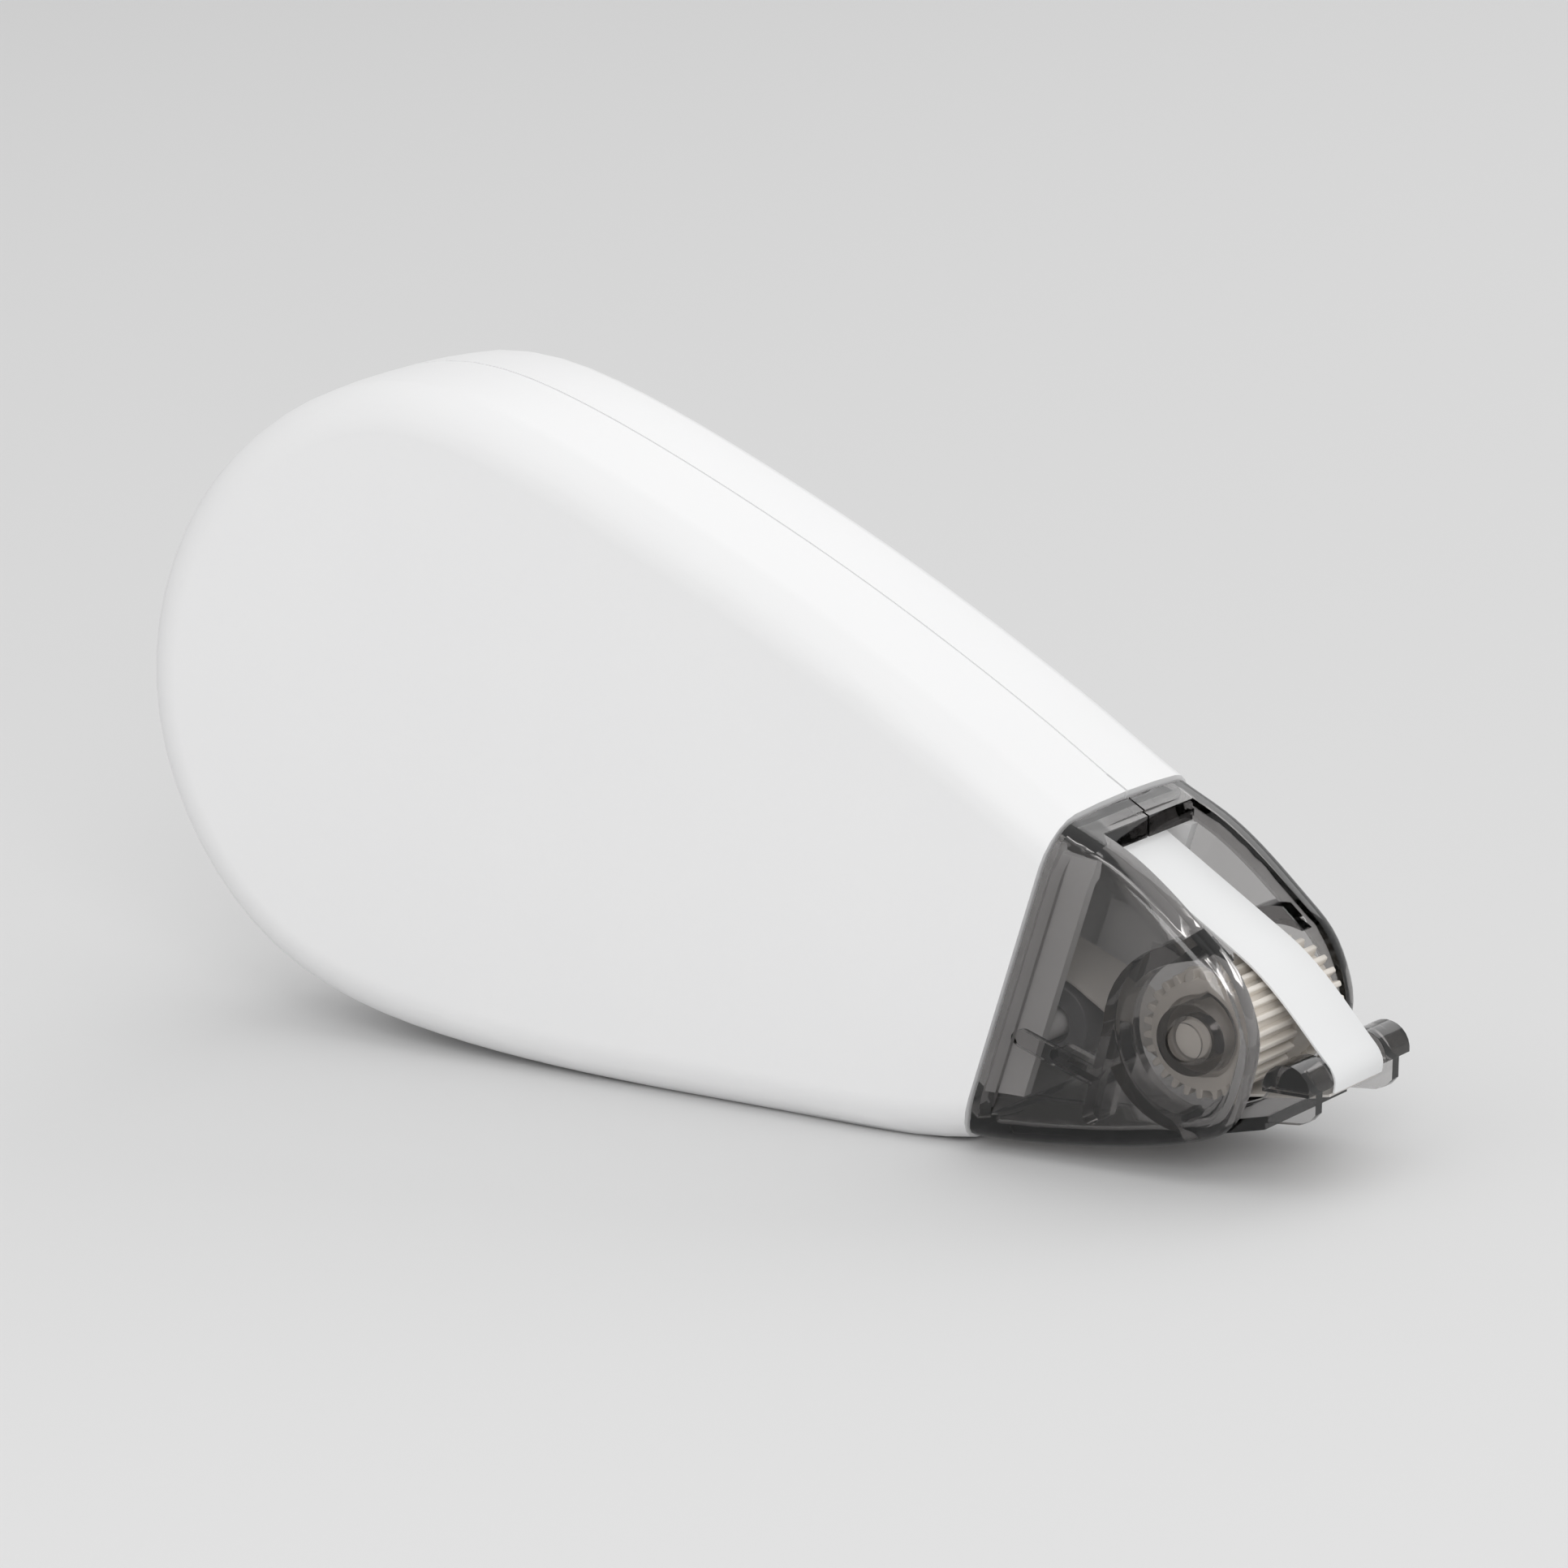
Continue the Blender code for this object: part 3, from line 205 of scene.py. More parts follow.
def moulded(name, colour, flow_colour, roughness, spread, grain, flow, depth, strength=0.5, specular=0.5):
    """A moulded or drawn stock: the shared grain drives its colour, its gloss and a faint bump."""
    material = bpy.data.materials.new(name)
    material.use_nodes = True
    tree = material.node_tree.nodes
    link = material.node_tree.links.new
    shader = tree["Principled BSDF"]
    skin = tree.new("ShaderNodeGroup")
    skin.name = "grain"
    skin.node_tree = GRAIN
    skin.inputs["Colour"].default_value = (*colour, 1)
    skin.inputs["Flow Colour"].default_value = (*flow_colour, 1)
    skin.inputs["Roughness"].default_value = roughness
    skin.inputs["Spread"].default_value = spread
    skin.inputs["Grain"].default_value = grain
    skin.inputs["Flow"].default_value = flow
    link(skin.outputs["Colour"], shader.inputs["Base Color"])
    link(skin.outputs["Roughness"], shader.inputs["Roughness"])
    bump = tree.new("ShaderNodeBump")
    bump.inputs["Distance"].default_value = depth
    bump.inputs["Strength"].default_value = strength
    link(skin.outputs["Height"], bump.inputs["Height"])
    link(bump.outputs["Normal"], shader.inputs["Normal"])
    shader.inputs["Specular IOR Level"].default_value = specular
    return material


SIDE_FACING = 0.99
LEVEL_REACH = 0.02 * MM
CORNER_ANGLE = math.radians(60)


def path_length(points):
    """The length of a path through its points."""
    return sum((b - a).length for a, b in zip(points, points[1:]))


def side_stretches(node, level):
    """The smooth stretches of a node's outline in a plane across Y, as X and Z points, longest first."""
    shape = joined(node)
    flat = [
        face for face in shape.faces
        if abs(face.normal.y) > SIDE_FACING and abs(face.calc_center_median().y - level) < LEVEL_REACH
    ]
    flat_set = set(flat)
    follow = {}
    for face in flat:
        for loop in face.loops:
            if sum(other in flat_set for other in loop.edge.link_faces) == 1:
                follow[loop.vert] = loop.link_loop_next.vert
    outlines = []
    while follow:
        vert = next(iter(follow))
        outline = []
        while vert in follow:
            outline.append(Vector((vert.co.x, vert.co.z)))
            vert = follow.pop(vert)
        outlines.append(outline)
    outline = max(outlines, key=len)
    shape.free()
    count = len(outline)
    corners = []
    for i, point in enumerate(outline):
        arrive = point - outline[i - 1]
        leave = outline[(i + 1) % count] - point
        if arrive.angle(leave) > CORNER_ANGLE:
            corners.append(i)
    stretches = []
    for start, end in zip(corners, corners[1:] + [corners[0] + count]):
        stretches.append([outline[i % count] for i in range(start, end + 1)])
    return sorted(stretches, key=path_length, reverse=True)


def evenly(points, count):
    """The same path with a number of points at equal steps."""
    step = path_length(points) / (count - 1)
    spaced = [points[0]]
    travelled = 0.0
    for a, b in zip(points, points[1:]):
        length = (b - a).length
        while len(spaced) < count - 1 and len(spaced) * step <= travelled + length:
            spaced.append(a.lerp(b, (len(spaced) * step - travelled) / length))
        travelled += length
    return spaced + [points[-1]]


BAND_CORNER_STEPS = 2
SEAM_WELD = 0.0005 * MM


def band_tree():
    """A band that follows a path: the path's edges become a smooth curve with a rounded section."""
    tree = bpy.data.node_groups.new("band_on_path", "GeometryNodeTree")
    sockets = tree.interface
    sockets.new_socket("Path", in_out="INPUT", socket_type="NodeSocketGeometry")
    for name in ("Width", "Thickness", "Corner", "Step"):
        sockets.new_socket(name, in_out="INPUT", socket_type="NodeSocketFloat")
    sockets.new_socket("Finish", in_out="INPUT", socket_type="NodeSocketMaterial")
    sockets.new_socket("Band", in_out="OUTPUT", socket_type="NodeSocketGeometry")
    make = tree.nodes.new
    link = tree.links.new
    taken = make("NodeGroupInput")
    given = make("NodeGroupOutput")
    curve = make("GeometryNodeMeshToCurve")
    soft = make("GeometryNodeCurveSplineType")
    soft.spline_type = "CATMULL_ROM"
    spaced = make("GeometryNodeResampleCurve")
    spaced.mode = "LENGTH"
    level = make("GeometryNodeSetCurveNormal")
    level.mode = "FREE"
    level.inputs["Normal"].default_value = (0, 1, 0)
    section = make("GeometryNodeCurvePrimitiveQuadrilateral")
    rounded = make("GeometryNodeFilletCurve")
    rounded.mode = "POLY"
    rounded.inputs["Count"].default_value = BAND_CORNER_STEPS
    sweep = make("GeometryNodeCurveToMesh")
    sweep.inputs["Fill Caps"].default_value = True
    whole = make("GeometryNodeRealizeInstances")
    finish = make("GeometryNodeSetMaterial")
    link(taken.outputs["Path"], curve.inputs["Mesh"])
    link(curve.outputs["Curve"], soft.inputs["Curve"])
    link(soft.outputs["Curve"], spaced.inputs["Curve"])
    link(taken.outputs["Step"], spaced.inputs["Length"])
    link(spaced.outputs["Curve"], level.inputs["Curve"])
    link(taken.outputs["Width"], section.inputs["Width"])
    link(taken.outputs["Thickness"], section.inputs["Height"])
    link(section.outputs["Curve"], rounded.inputs["Curve"])
    link(taken.outputs["Corner"], rounded.inputs["Radius"])
    link(level.outputs["Curve"], sweep.inputs["Curve"])
    link(rounded.outputs["Curve"], sweep.inputs["Profile Curve"])
    link(sweep.outputs["Mesh"], whole.inputs["Geometry"])
    link(whole.outputs["Geometry"], finish.inputs["Geometry"])
    link(taken.outputs["Finish"], finish.inputs["Material"])
    link(finish.outputs["Geometry"], given.inputs["Band"])
    return tree


BAND = band_tree()


def grown(piece, tree, values):
    """The piece made by a tree whose inputs take the values, as a plain mesh with closed seams."""
    modifier = piece.modifiers.new(tree.name, "NODES")
    modifier.node_group = tree
    for item in tree.interface.items_tree:
        if item.name in values:
            modifier[item.identifier] = values[item.name]
    settled(piece)
    shape = bmesh.new()
    shape.from_mesh(piece.data)
    bmesh.ops.remove_doubles(shape, verts=shape.verts, dist=SEAM_WELD)
    bmesh.ops.recalc_face_normals(shape, faces=shape.faces)
    shape.to_mesh(piece.data)
    shape.free()
    piece.data.shade_smooth()
    piece.data.set_sharp_from_angle(angle=EDGE_ANGLE)
    return piece


def band_along(name, path, y, width, thickness, corner, step, material):
    """A band of a width along Y and a thickness, on a path of X and Z points at a place along Y."""
    mesh = bpy.data.meshes.new(name)
    points = [(point.x, y, point.y) for point in path]
    mesh.from_pydata(points, [(i, i + 1) for i in range(len(points) - 1)], [])
    values = {"Width": width, "Thickness": thickness, "Corner": corner, "Step": step, "Finish": material}
    return grown(shown(name, mesh), BAND, values)


WHITE_ABS = moulded(
    "white_abs", colour=(0.86, 0.86, 0.86), flow_colour=(0.84, 0.84, 0.845),
    roughness=0.42, spread=0.10, grain=9000, flow=90, depth=0.004 * MM,
)
for node, body in (("left_case", "left_half"), ("right_case", "right_half")):
    dress(skin_of(node, CASE_EDGE_ROUND), WHITE_ABS, body, "white_case", node)

parting = side_stretches("left_case", RIM_LEVEL)[0]
middle = sum(parting, Vector((0, 0))) / len(parting)
bead_path = []
for before, point, after in zip(parting, parting[1:], parting[2:]):
    along = after - before
    inward = Vector((along.y, -along.x)).normalized()
    if inward.dot(middle - point) < 0:
        inward = -inward
    bead_path.append(point + inward * (BEAD_DEPTH + BEAD_HEIGHT / 2))
bead_y = RIM_LEVEL + BEAD_WIDTH / 2
bead = band_along(
    "parting_bead", bead_path, bead_y, BEAD_WIDTH, BEAD_HEIGHT, BEAD_CORNER, BEAD_STEP, WHITE_ABS
)
dress(bead, WHITE_ABS, "left_half", "white_case")


# Reels and drive wheels: the full roll, the spent roll and their gears turn on posts of the left half.
# They sit inside the case, so they keep their solids and take the finish of their own stock.
# The rolls show the fine rings of their windings on the side.

CREAM_POM = moulded(
    "cream_pom", colour=(0.82, 0.775, 0.715), flow_colour=(0.80, 0.75, 0.685),
    roughness=0.36, spread=0.10, grain=7000, flow=220, depth=0.003 * MM,
)
COATED_TAPE = moulded(
    "coated_tape", colour=(0.83, 0.835, 0.835), flow_colour=(0.81, 0.815, 0.82),
    roughness=0.58, spread=0.16, grain=5200, flow=160, depth=0.004 * MM, specular=0.35,
)
SPENT_FILM = moulded(
    "spent_film", colour=(0.70, 0.675, 0.64), flow_colour=(0.66, 0.635, 0.60),
    roughness=0.32, spread=0.10, grain=4200, flow=260, depth=0.003 * MM,
)
CLEAR_SHEET = moulded(
    "clear_sheet", colour=(0.90, 0.92, 0.93), flow_colour=(0.86, 0.89, 0.90),
    roughness=0.12, spread=0.05, grain=3000, flow=200, depth=0.002 * MM,
)
SHEET_CLEARNESS = 0.85
CLEAR_SHEET.node_tree.nodes["Principled BSDF"].inputs["Transmission Weight"].default_value = SHEET_CLEARNESS
DRAWN_STEEL = moulded(
    "drawn_steel", colour=(0.62, 0.62, 0.64), flow_colour=(0.55, 0.55, 0.57),
    roughness=0.28, spread=0.14, grain=12000, flow=500, depth=0.002 * MM,
)
DRAWN_STEEL.node_tree.nodes["Principled BSDF"].inputs["Metallic"].default_value = 1.0
GREY_NYLON = moulded(
    "grey_nylon", colour=(0.16, 0.16, 0.165), flow_colour=(0.13, 0.13, 0.135),
    roughness=0.38, spread=0.10, grain=6000, flow=260, depth=0.003 * MM,
)
RING_SCALE = 950
RING_WANDER = 0.6
RING_DETAIL_SCALE = 0.4
TAPE_GAP = (0.62, 0.62, 0.63)
FILM_GAP = (0.42, 0.40, 0.37)


def wound(material, name, node, gap_colour):
    """A copy of a strip's finish with the rings of its windings about the roll's own axis."""
    low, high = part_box(node)
    copy = material.copy()
    copy.name = name
    tree = copy.node_tree.nodes
    link = copy.node_tree.links.new
    place = tree.new("ShaderNodeTexCoord")
    centre = tree.new("ShaderNodeMapping")
    centre.inputs["Location"].default_value = (-(low[0] + high[0]) / 2, 0, -(low[2] + high[2]) / 2)
    rings = tree.new("ShaderNodeTexWave")
    rings.wave_type = "RINGS"
    rings.rings_direction = "Y"
    rings.inputs["Scale"].default_value = RING_SCALE
    rings.inputs["Distortion"].default_value = RING_WANDER
    rings.inputs["Detail Scale"].default_value = RING_DETAIL_SCALE
    shade = tree.new("ShaderNodeMix")
    shade.data_type = "RGBA"
    shade.inputs["A"].default_value = (*gap_colour, 1)
    link(place.outputs["Object"], centre.inputs["Vector"])
    link(centre.outputs["Vector"], rings.inputs["Vector"])
    link(rings.outputs["Fac"], shade.inputs["Factor"])
    link(tree["grain"].outputs["Colour"], shade.inputs["B"])
    link(shade.outputs["Result"], tree["Principled BSDF"].inputs["Base Color"])
    return copy


inner_finish = {
    "supply_reel": WHITE_ABS, "supply_cover": CLEAR_SHEET,
    "supply_tape": wound(COATED_TAPE, "wound_tape", "supply_tape", TAPE_GAP),
    "supply_gear": CREAM_POM, "supply_cap": CREAM_POM, "clutch_spring": DRAWN_STEEL,
    "take_up_gear": CREAM_POM, "take_up_reel": WHITE_ABS,
    "take_up_film": wound(SPENT_FILM, "wound_film", "take_up_film", FILM_GAP),
    "take_up_flange": CLEAR_SHEET, "take_up_clip": CREAM_POM,
    "feed_guide_pin": DRAWN_STEEL, "back_stop_pawl": GREY_NYLON,
}
for node, material in inner_finish.items():
    nodes[node].data.materials.clear()
    nodes[node].data.materials.append(material)


# Return roller: a grey nylon roller on a post behind the wheel, over which the spent film climbs.
# Its ends are eased, so that the film doesn't catch.

ROLLER_EDGE_ROUND = 0.12 * MM
dress(skin_of("return_roller", ROLLER_EDGE_ROUND), GREY_NYLON, "roller", "grey_roller", "return_roller")


# Tape and spent film: one coated strip, white on its way to the tip and bare on its way back.
# It follows the middle line of its solid, from the full roll to the tip and back to the spent roll.

STRIP_POINTS = 90
STRIP_STEP = 0.3 * MM
STRIP_CORNER = 0.03 * MM
strips = (("tape_feed", COATED_TAPE, "white_tape"), ("tape_return", SPENT_FILM, "backing_film"))
for node, material, slot in strips:
    low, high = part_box(node)
    upper, under = side_stretches(node, high[1])[:2]
    upper = evenly(upper, STRIP_POINTS)
    under = evenly(under[::-1], STRIP_POINTS)
    thickness = (upper[0] - under[0]).length
    route = [a.lerp(b, 0.5) for a, b in zip(upper, under)]
    strip = band_along(
        node + "_strip", route, 0.0, high[1] - low[1], thickness, STRIP_CORNER, STRIP_STEP, material
    )
    dress(strip, material, "left_half", slot, node)


# Winder wheel: cream acetal, moulded in one, with a wide and a narrow rim of teeth on a plain drum.
# The teeth have round tips, so that they grip the film without cutting it.

WHEEL_TEETH = 26
TOOTH_RISE = 0.53 * MM
TOOTH_ROOT_WIDTH = 0.52 * MM
TOOTH_TIP_WIDTH = 0.34 * MM
TOOTH_ROUND = 0.12 * MM
TOOTH_SEAT = 0.08 * MM
TOOTH_EDGE_ROUND = 0.05 * MM
NEAR_RIM = 4.65 * MM
FAR_RIM = 2.2 * MM
RELIEF_WIDTH = 0.5 * MM
RELIEF_DEPTH = 0.2 * MM
DRUM_DROP = 0.4 * MM
DRUM_EDGE_ROUND = 0.06 * MM
DRUM_STEPS = 104
TOOTH_ROUND_STEPS = 4
SPIN_WELD = 0.001 * MM
END_PIN = 1.2 * MM
RECESS = 2.5 * MM
RECESS_DEPTH = 1.0 * MM
wheel_low, wheel_high = (Vector(corner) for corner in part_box("winder_gear"))
wheel_axis = (wheel_low + wheel_high) / 2
wheel_tip = (wheel_high.z - wheel_low.z) / 2
wheel_root = wheel_tip - TOOTH_RISE
pin_end = wheel_high.y
rim_points = [vert.co for vert in nodes["winder_gear"].data.vertices if vert.co.z > wheel_axis.z + RECESS]
wheel_end = max(point.y for point in rim_points)


def tooth_tree():
    """A rim of teeth round an axis along Y: one swept tooth, turned about the axis by its number."""
    tree = bpy.data.node_groups.new("toothed_rim", "GeometryNodeTree")
    sockets = tree.interface
    sockets.new_socket("Blank", in_out="INPUT", socket_type="NodeSocketGeometry")
    sockets.new_socket("Teeth", in_out="INPUT", socket_type="NodeSocketInt")
    for name in ("Height", "Root Width", "Tip Width", "Round", "Rim", "Radius", "Offset"):
        sockets.new_socket(name, in_out="INPUT", socket_type="NodeSocketFloat")
    sockets.new_socket("Axis", in_out="INPUT", socket_type="NodeSocketVector")
    sockets.new_socket("Finish", in_out="INPUT", socket_type="NodeSocketMaterial")
    sockets.new_socket("Rim Of Teeth", in_out="OUTPUT", socket_type="NodeSocketGeometry")
    make = tree.nodes.new
    link = tree.links.new
    taken = make("NodeGroupInput")
    given = make("NodeGroupOutput")

    def worked(operation, first, second):
        node = make("ShaderNodeMath")
        node.operation = operation
        for socket, value in zip(node.inputs, (first, second)):
            if isinstance(value, bpy.types.NodeSocket):
                link(value, socket)
            else:
                socket.default_value = value
        return node.outputs[0]

    def vector(**parts):
        node = make("ShaderNodeCombineXYZ")
        for name, value in parts.items():
            link(value, node.inputs[name])
        return node.outputs[0]

    section = make("GeometryNodeCurvePrimitiveQuadrilateral")
    section.mode = "TRAPEZOID"
    link(taken.outputs["Height"], section.inputs["Height"])
    link(taken.outputs["Root Width"], section.inputs["Bottom Width"])
    link(taken.outputs["Tip Width"], section.inputs["Top Width"])
    section.inputs["Offset"].default_value = 0.0
    rounded = make("GeometryNodeFilletCurve")
    rounded.mode = "POLY"
    rounded.inputs["Count"].default_value = TOOTH_ROUND_STEPS
    rounded.inputs["Limit Radius"].default_value = True
    link(section.outputs["Curve"], rounded.inputs["Curve"])
    link(taken.outputs["Round"], rounded.inputs["Radius"])
    line = make("GeometryNodeCurvePrimitiveLine")
    link(vector(Y=worked("MULTIPLY", taken.outputs["Rim"], -0.5)), line.inputs["Start"])
    link(vector(Y=worked("MULTIPLY", taken.outputs["Rim"], 0.5)), line.inputs["End"])
    upright = make("GeometryNodeSetCurveNormal")
    upright.mode = "FREE"
    upright.inputs["Normal"].default_value = (0, 0, 1)
    link(line.outputs["Curve"], upright.inputs["Curve"])
    sweep = make("GeometryNodeCurveToMesh")
    sweep.inputs["Fill Caps"].default_value = True
    link(upright.outputs["Curve"], sweep.inputs["Curve"])
    link(rounded.outputs["Curve"], sweep.inputs["Profile Curve"])
    shift = make("GeometryNodeTransform")
    link(sweep.outputs["Mesh"], shift.inputs["Geometry"])
    link(vector(X=taken.outputs["Radius"], Y=taken.outputs["Offset"]), shift.inputs["Translation"])
    spots = make("GeometryNodePoints")
    link(taken.outputs["Teeth"], spots.inputs["Count"])
    link(taken.outputs["Axis"], spots.inputs["Position"])
    number = make("GeometryNodeInputIndex")
    pitch = worked("DIVIDE", 2 * math.pi, taken.outputs["Teeth"])
    turn = worked("MULTIPLY", worked("ADD", number.outputs["Index"], 0.5), pitch)
    repeat = make("GeometryNodeInstanceOnPoints")
    link(spots.outputs["Points"], repeat.inputs["Points"])
    link(shift.outputs["Geometry"], repeat.inputs["Instance"])
    link(vector(Y=turn), repeat.inputs["Rotation"])
    whole = make("GeometryNodeRealizeInstances")
    finish = make("GeometryNodeSetMaterial")
    link(repeat.outputs["Instances"], whole.inputs["Geometry"])
    link(whole.outputs["Geometry"], finish.inputs["Geometry"])
    link(taken.outputs["Finish"], finish.inputs["Material"])
    link(finish.outputs["Geometry"], given.inputs["Rim Of Teeth"])
    return tree


def turned(name, profile, axis, steps):
    """A closed body turned about a line along Y: the profile holds radius and Y pairs."""
    shape = bmesh.new()
    verts = [shape.verts.new((axis.x + radius, y, axis.z)) for radius, y in profile]
    edges = [shape.edges.new(pair) for pair in zip(verts, verts[1:])]
    bmesh.ops.spin(
        shape, geom=verts + edges, cent=axis, axis=(0, 1, 0), angle=2 * math.pi, steps=steps, use_merge=True
    )
    bmesh.ops.remove_doubles(shape, verts=shape.verts, dist=SPIN_WELD)
    bmesh.ops.recalc_face_normals(shape, faces=shape.faces)
    mesh = bpy.data.meshes.new(name)
    shape.to_mesh(mesh)
    shape.free()
    return shown(name, mesh)


near_y = NEAR_RIM - wheel_end
far_y = wheel_end - FAR_RIM
drum_radius = wheel_tip - DRUM_DROP
end_profile = [
    (0.0, pin_end), (END_PIN, pin_end), (END_PIN, wheel_end - RECESS_DEPTH),
    (RECESS, wheel_end - RECESS_DEPTH), (RECESS, wheel_end), (wheel_root, wheel_end),
]
drum_profile = [
    (wheel_root, far_y), (drum_radius, far_y), (drum_radius, near_y + RELIEF_WIDTH),
    (wheel_root - RELIEF_DEPTH, near_y + RELIEF_WIDTH), (wheel_root - RELIEF_DEPTH, near_y),
    (wheel_root, near_y),
]
profile = end_profile + drum_profile + [(radius, -y) for radius, y in reversed(end_profile)]
drum = turned("winder_drum", profile, Vector((wheel_axis.x, 0, wheel_axis.z)), DRUM_STEPS)
dress(eased(drum, DRUM_EDGE_ROUND), CREAM_POM, "winder", "cream_gear", "winder_gear")
TOOTHED_RIM = tooth_tree()
for name, width, side in (("near_teeth", NEAR_RIM, -1), ("far_teeth", FAR_RIM, 1)):
    values = {
        "Teeth": WHEEL_TEETH, "Height": TOOTH_RISE + TOOTH_SEAT, "Root Width": TOOTH_ROOT_WIDTH,
        "Tip Width": TOOTH_TIP_WIDTH, "Round": TOOTH_ROUND, "Rim": width,
        "Radius": wheel_root + (TOOTH_RISE - TOOTH_SEAT) / 2, "Offset": side * (wheel_end - width / 2),
        "Axis": (wheel_axis.x, 0, wheel_axis.z), "Finish": CREAM_POM,
    }
    teeth = grown(shown(name, bpy.data.meshes.new(name)), TOOTHED_RIM, values)
    dress(eased(teeth, TOOTH_EDGE_ROUND), CREAM_POM, "winder", "cream_gear", "winder_gear")


# Smoke nose: two clear halves of tinted styrene, whose own thickness sets how dark they look.
# The halves are polished in the mould and snap over the tongue of the case.
# Lamp light passes straight through the skin, dimmed by the tint, so that the inside is lit.

SMOKE_DENSITY = 800.0
SMOKE_TINT = (0.40, 0.385, 0.38)
SMOKE_IOR = 1.5
SMOKE_EDGE_ROUND = 0.12 * MM
SMOKE = moulded(
    "smoke_styrene", colour=(1.0, 1.0, 1.0), flow_colour=(0.94, 0.935, 0.93),
    roughness=0.045, spread=0.04, grain=900, flow=150, depth=0.006 * MM, strength=0.35,
)
tree = SMOKE.node_tree.nodes
link = SMOKE.node_tree.links.new
shader = tree["Principled BSDF"]
shader.inputs["Transmission Weight"].default_value = 1.0
shader.inputs["IOR"].default_value = SMOKE_IOR
absorb = tree.new("ShaderNodeVolumeAbsorption")
absorb.inputs["Color"].default_value = (*SMOKE_TINT, 1)
absorb.inputs["Density"].default_value = SMOKE_DENSITY
let_through = tree.new("ShaderNodeBsdfTransparent")
path = tree.new("ShaderNodeLightPath")
lit = tree.new("ShaderNodeMixShader")
link(absorb.outputs["Volume"], tree["Material Output"].inputs["Volume"])
link(path.outputs["Is Shadow Ray"], lit.inputs[0])
link(shader.outputs["BSDF"], lit.inputs[1])
link(let_through.outputs["BSDF"], lit.inputs[2])
link(lit.outputs["Shader"], tree["Material Output"].inputs["Surface"])
for node, body in (("left_nose", "left_half"), ("right_nose", "right_half")):
    dress(skin_of(node, SMOKE_EDGE_ROUND), SMOKE, body, "smoke_clear", node)


# Applicator tip: the same tinted stock, with D-shaped lugs, fins and the bar the tape folds round.
# It is moulded in one and clipped between the two halves of the nose.

tip = skin_of("applicator_head", SMOKE_EDGE_ROUND)
dress(tip, SMOKE, "left_half", "smoke_clear", "applicator_head")


# Studio: a pale grey sweep whose colour is painted darker away from the camera, as painted shade for the
# light falling off with distance, and an even surround.
# A wide softbox hangs overhead, one stands behind for the edges and one in front to the right.

FLOOR_HALF = 3.0
PAPER_NEAR = 0.74
# The far paper colour is darker only as painted shade, for light falling off away from the camera.
PAPER_FAR_PAINTED_SHADE = 0.66
PAINTED_SHADE_AHEAD = (-0.542, 0.84, 0.0)
PAINTED_SHADE_START = -0.09
PAINTED_SHADE_END = 0.48
PAPER_ROUGHNESS = 0.8
PAPER_GLOSS = 0.1
SURROUND = 0.68

floor_mesh = bpy.data.meshes.new("studio_floor")
corners = [(x * FLOOR_HALF, y * FLOOR_HALF, 0) for x, y in ((-1, -1), (1, -1), (1, 1), (-1, 1))]
floor_mesh.from_pydata(corners, [], [(0, 1, 2, 3)])
floor = shown("studio_floor", floor_mesh)
paper = bpy.data.materials.new("studio_paper")
paper.use_nodes = True
tree = paper.node_tree.nodes
link = paper.node_tree.links.new
place = tree.new("ShaderNodeTexCoord")
distance = tree.new("ShaderNodeVectorMath")
distance.operation = "DOT_PRODUCT"
distance.inputs[1].default_value = PAINTED_SHADE_AHEAD
sweep = tree.new("ShaderNodeMapRange")
sweep.inputs["From Min"].default_value = PAINTED_SHADE_START
sweep.inputs["From Max"].default_value = PAINTED_SHADE_END
# Painted shade: the paper's colour fades from the near colour to the darker far colour along the view,
# standing in for light falling off with distance.
painted_falloff = tree.new("ShaderNodeMix")
painted_falloff.data_type = "RGBA"
painted_falloff.inputs["A"].default_value = (PAPER_NEAR, PAPER_NEAR, PAPER_NEAR, 1)
painted_falloff.inputs["B"].default_value = (PAPER_FAR_PAINTED_SHADE, PAPER_FAR_PAINTED_SHADE, PAPER_FAR_PAINTED_SHADE, 1)
shader = tree["Principled BSDF"]
shader.inputs["Roughness"].default_value = PAPER_ROUGHNESS
shader.inputs["Specular IOR Level"].default_value = PAPER_GLOSS
link(place.outputs["Object"], distance.inputs[0])
link(distance.outputs["Value"], sweep.inputs["Value"])
link(sweep.outputs["Result"], painted_falloff.inputs["Factor"])
link(painted_falloff.outputs["Result"], shader.inputs["Base Color"])
floor_mesh.materials.append(paper)

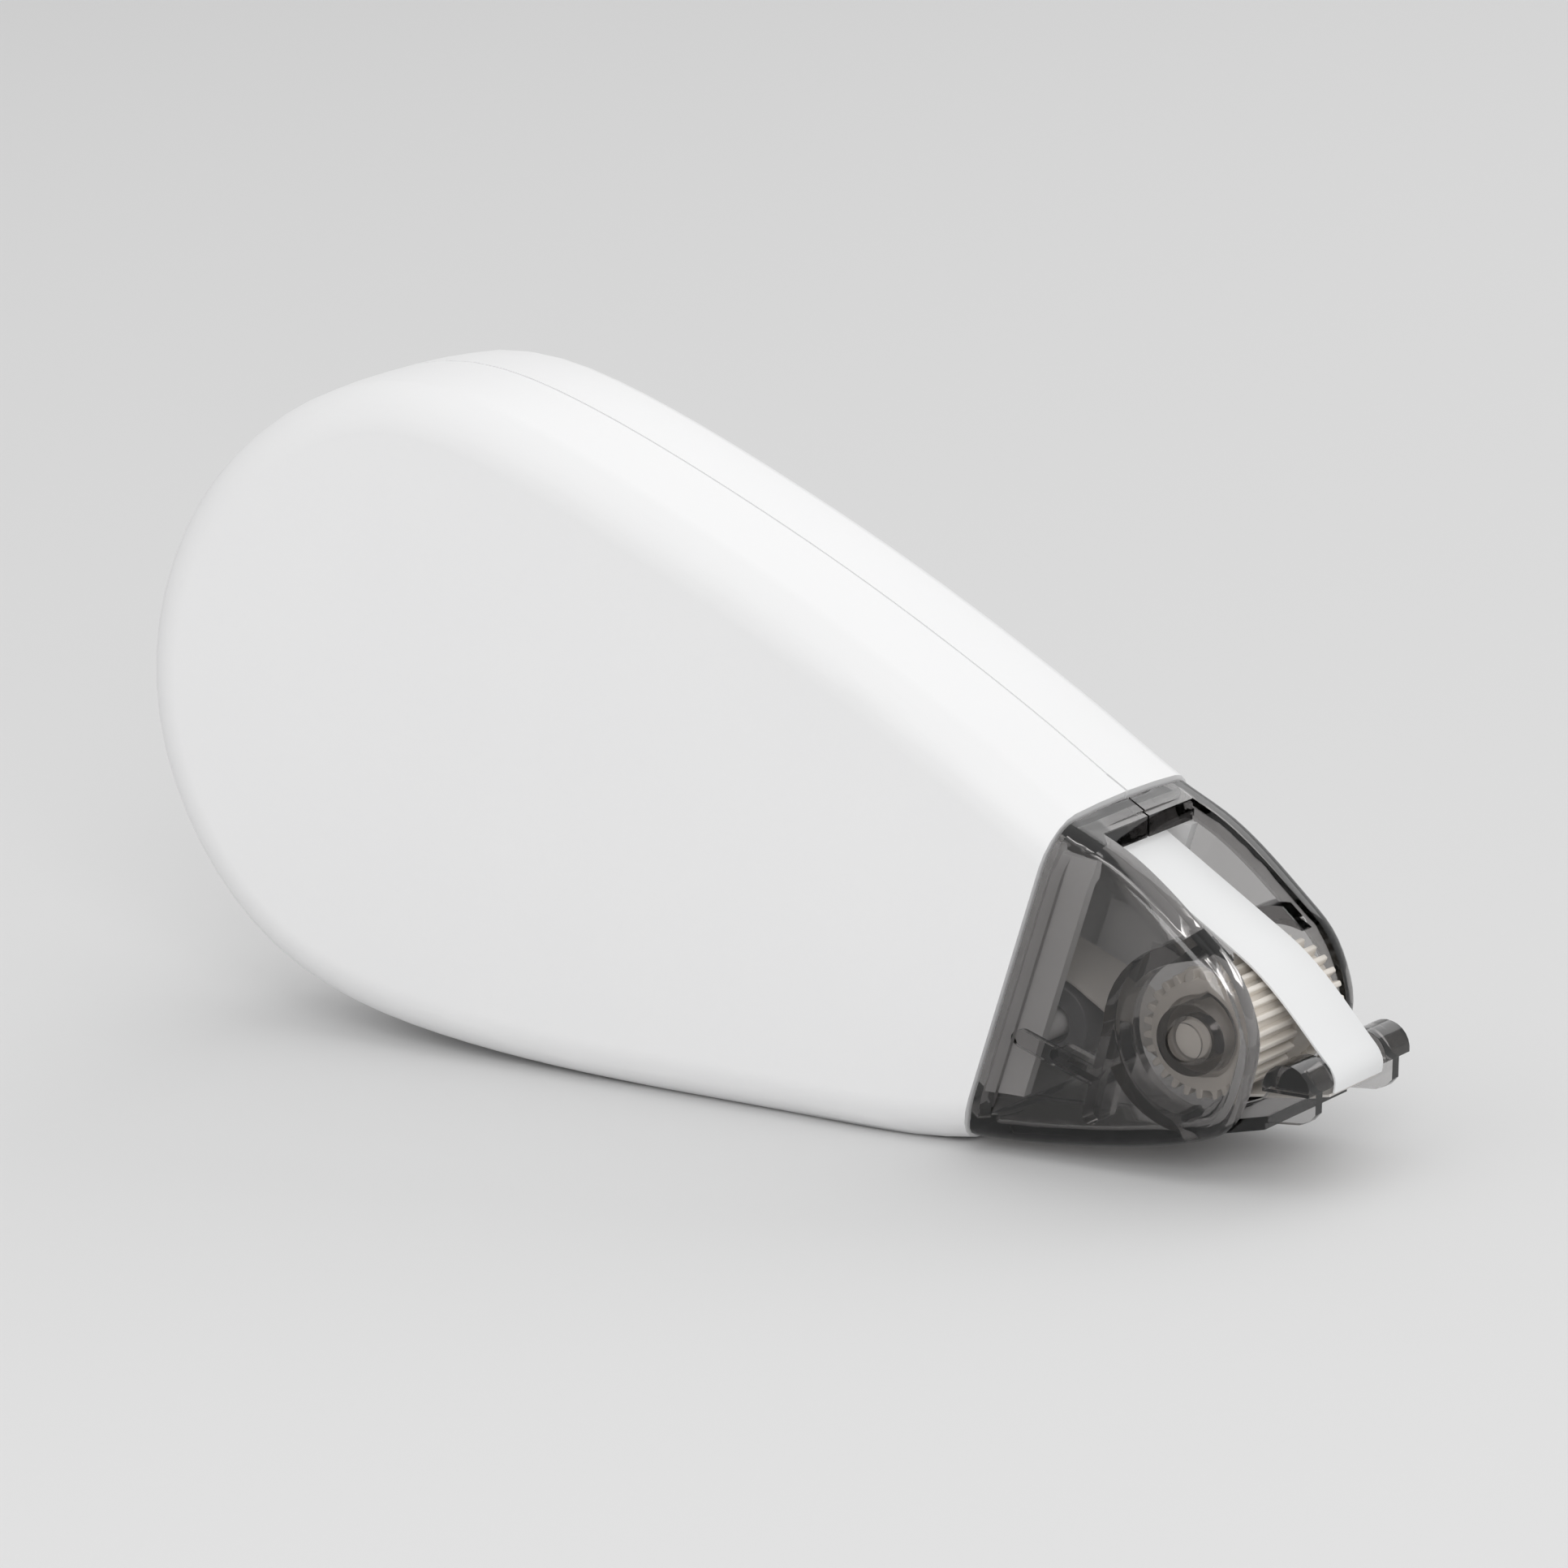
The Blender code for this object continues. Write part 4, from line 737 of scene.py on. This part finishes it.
world = bpy.data.worlds.new("studio_surround")
bpy.context.scene.world = world
world.use_nodes = True
world.node_tree.nodes["Background"].inputs["Color"].default_value = (1, 1, 1, 1)
world.node_tree.nodes["Background"].inputs["Strength"].default_value = SURROUND

LAMP_AIM = Vector((0, 0, 0.02))
softboxes = (
    ("overhead_softbox", 1.0, 1.2, (0.05, 0.0, 0.9)),
    ("back_softbox", 0.5, 0.9, (-0.05, 0.6, 0.5)),
    ("front_softbox", 0.4, 2.1, (0.42, -0.62, 0.42)),
)
for name, size, energy, spot in softboxes:
    softbox = bpy.data.lights.new(name, "AREA")
    softbox.shape = "SQUARE"
    softbox.size = size
    softbox.energy = energy
    lamp = bpy.data.objects.new(name, softbox)
    lamp.location = spot
    lamp.rotation_euler = (LAMP_AIM - lamp.location).to_track_quat("-Z", "Y").to_euler()
    bpy.context.scene.collection.objects.link(lamp)


# Camera: a long lens, turned to the left of straight on and looking a little down.
# Its place, turn and focal length put the outline where the photograph has it.

PHOTO_SIDE = 1932
FOCAL_PIXELS = 10000
SENSOR = 36
CAMERA_SPOT = (0.26490, -0.40874, 0.13603)
CAMERA_TURN = math.radians(32.806)
CAMERA_RISE = math.radians(13.558)
NEAREST = 0.01
FARTHEST = 20

lens = bpy.data.cameras.new("photo_camera")
lens.sensor_width = SENSOR
lens.lens = SENSOR * FOCAL_PIXELS / PHOTO_SIDE
lens.clip_start = NEAREST
lens.clip_end = FARTHEST
camera = bpy.data.objects.new("photo_camera", lens)
side, ahead = math.sin(CAMERA_TURN), math.cos(CAMERA_TURN)
tilt, level = math.sin(CAMERA_RISE), math.cos(CAMERA_RISE)
right = Vector((ahead, side, 0))
up = Vector((-side * tilt, ahead * tilt, level))
backward = Vector((side * level, -ahead * level, tilt))
axes = Matrix((right, up, backward)).transposed().to_4x4()
camera.matrix_world = Matrix.Translation(CAMERA_SPOT) @ axes
bpy.context.scene.collection.objects.link(camera)
bpy.context.scene.camera = camera
bpy.context.scene.view_settings.view_transform = "Standard"
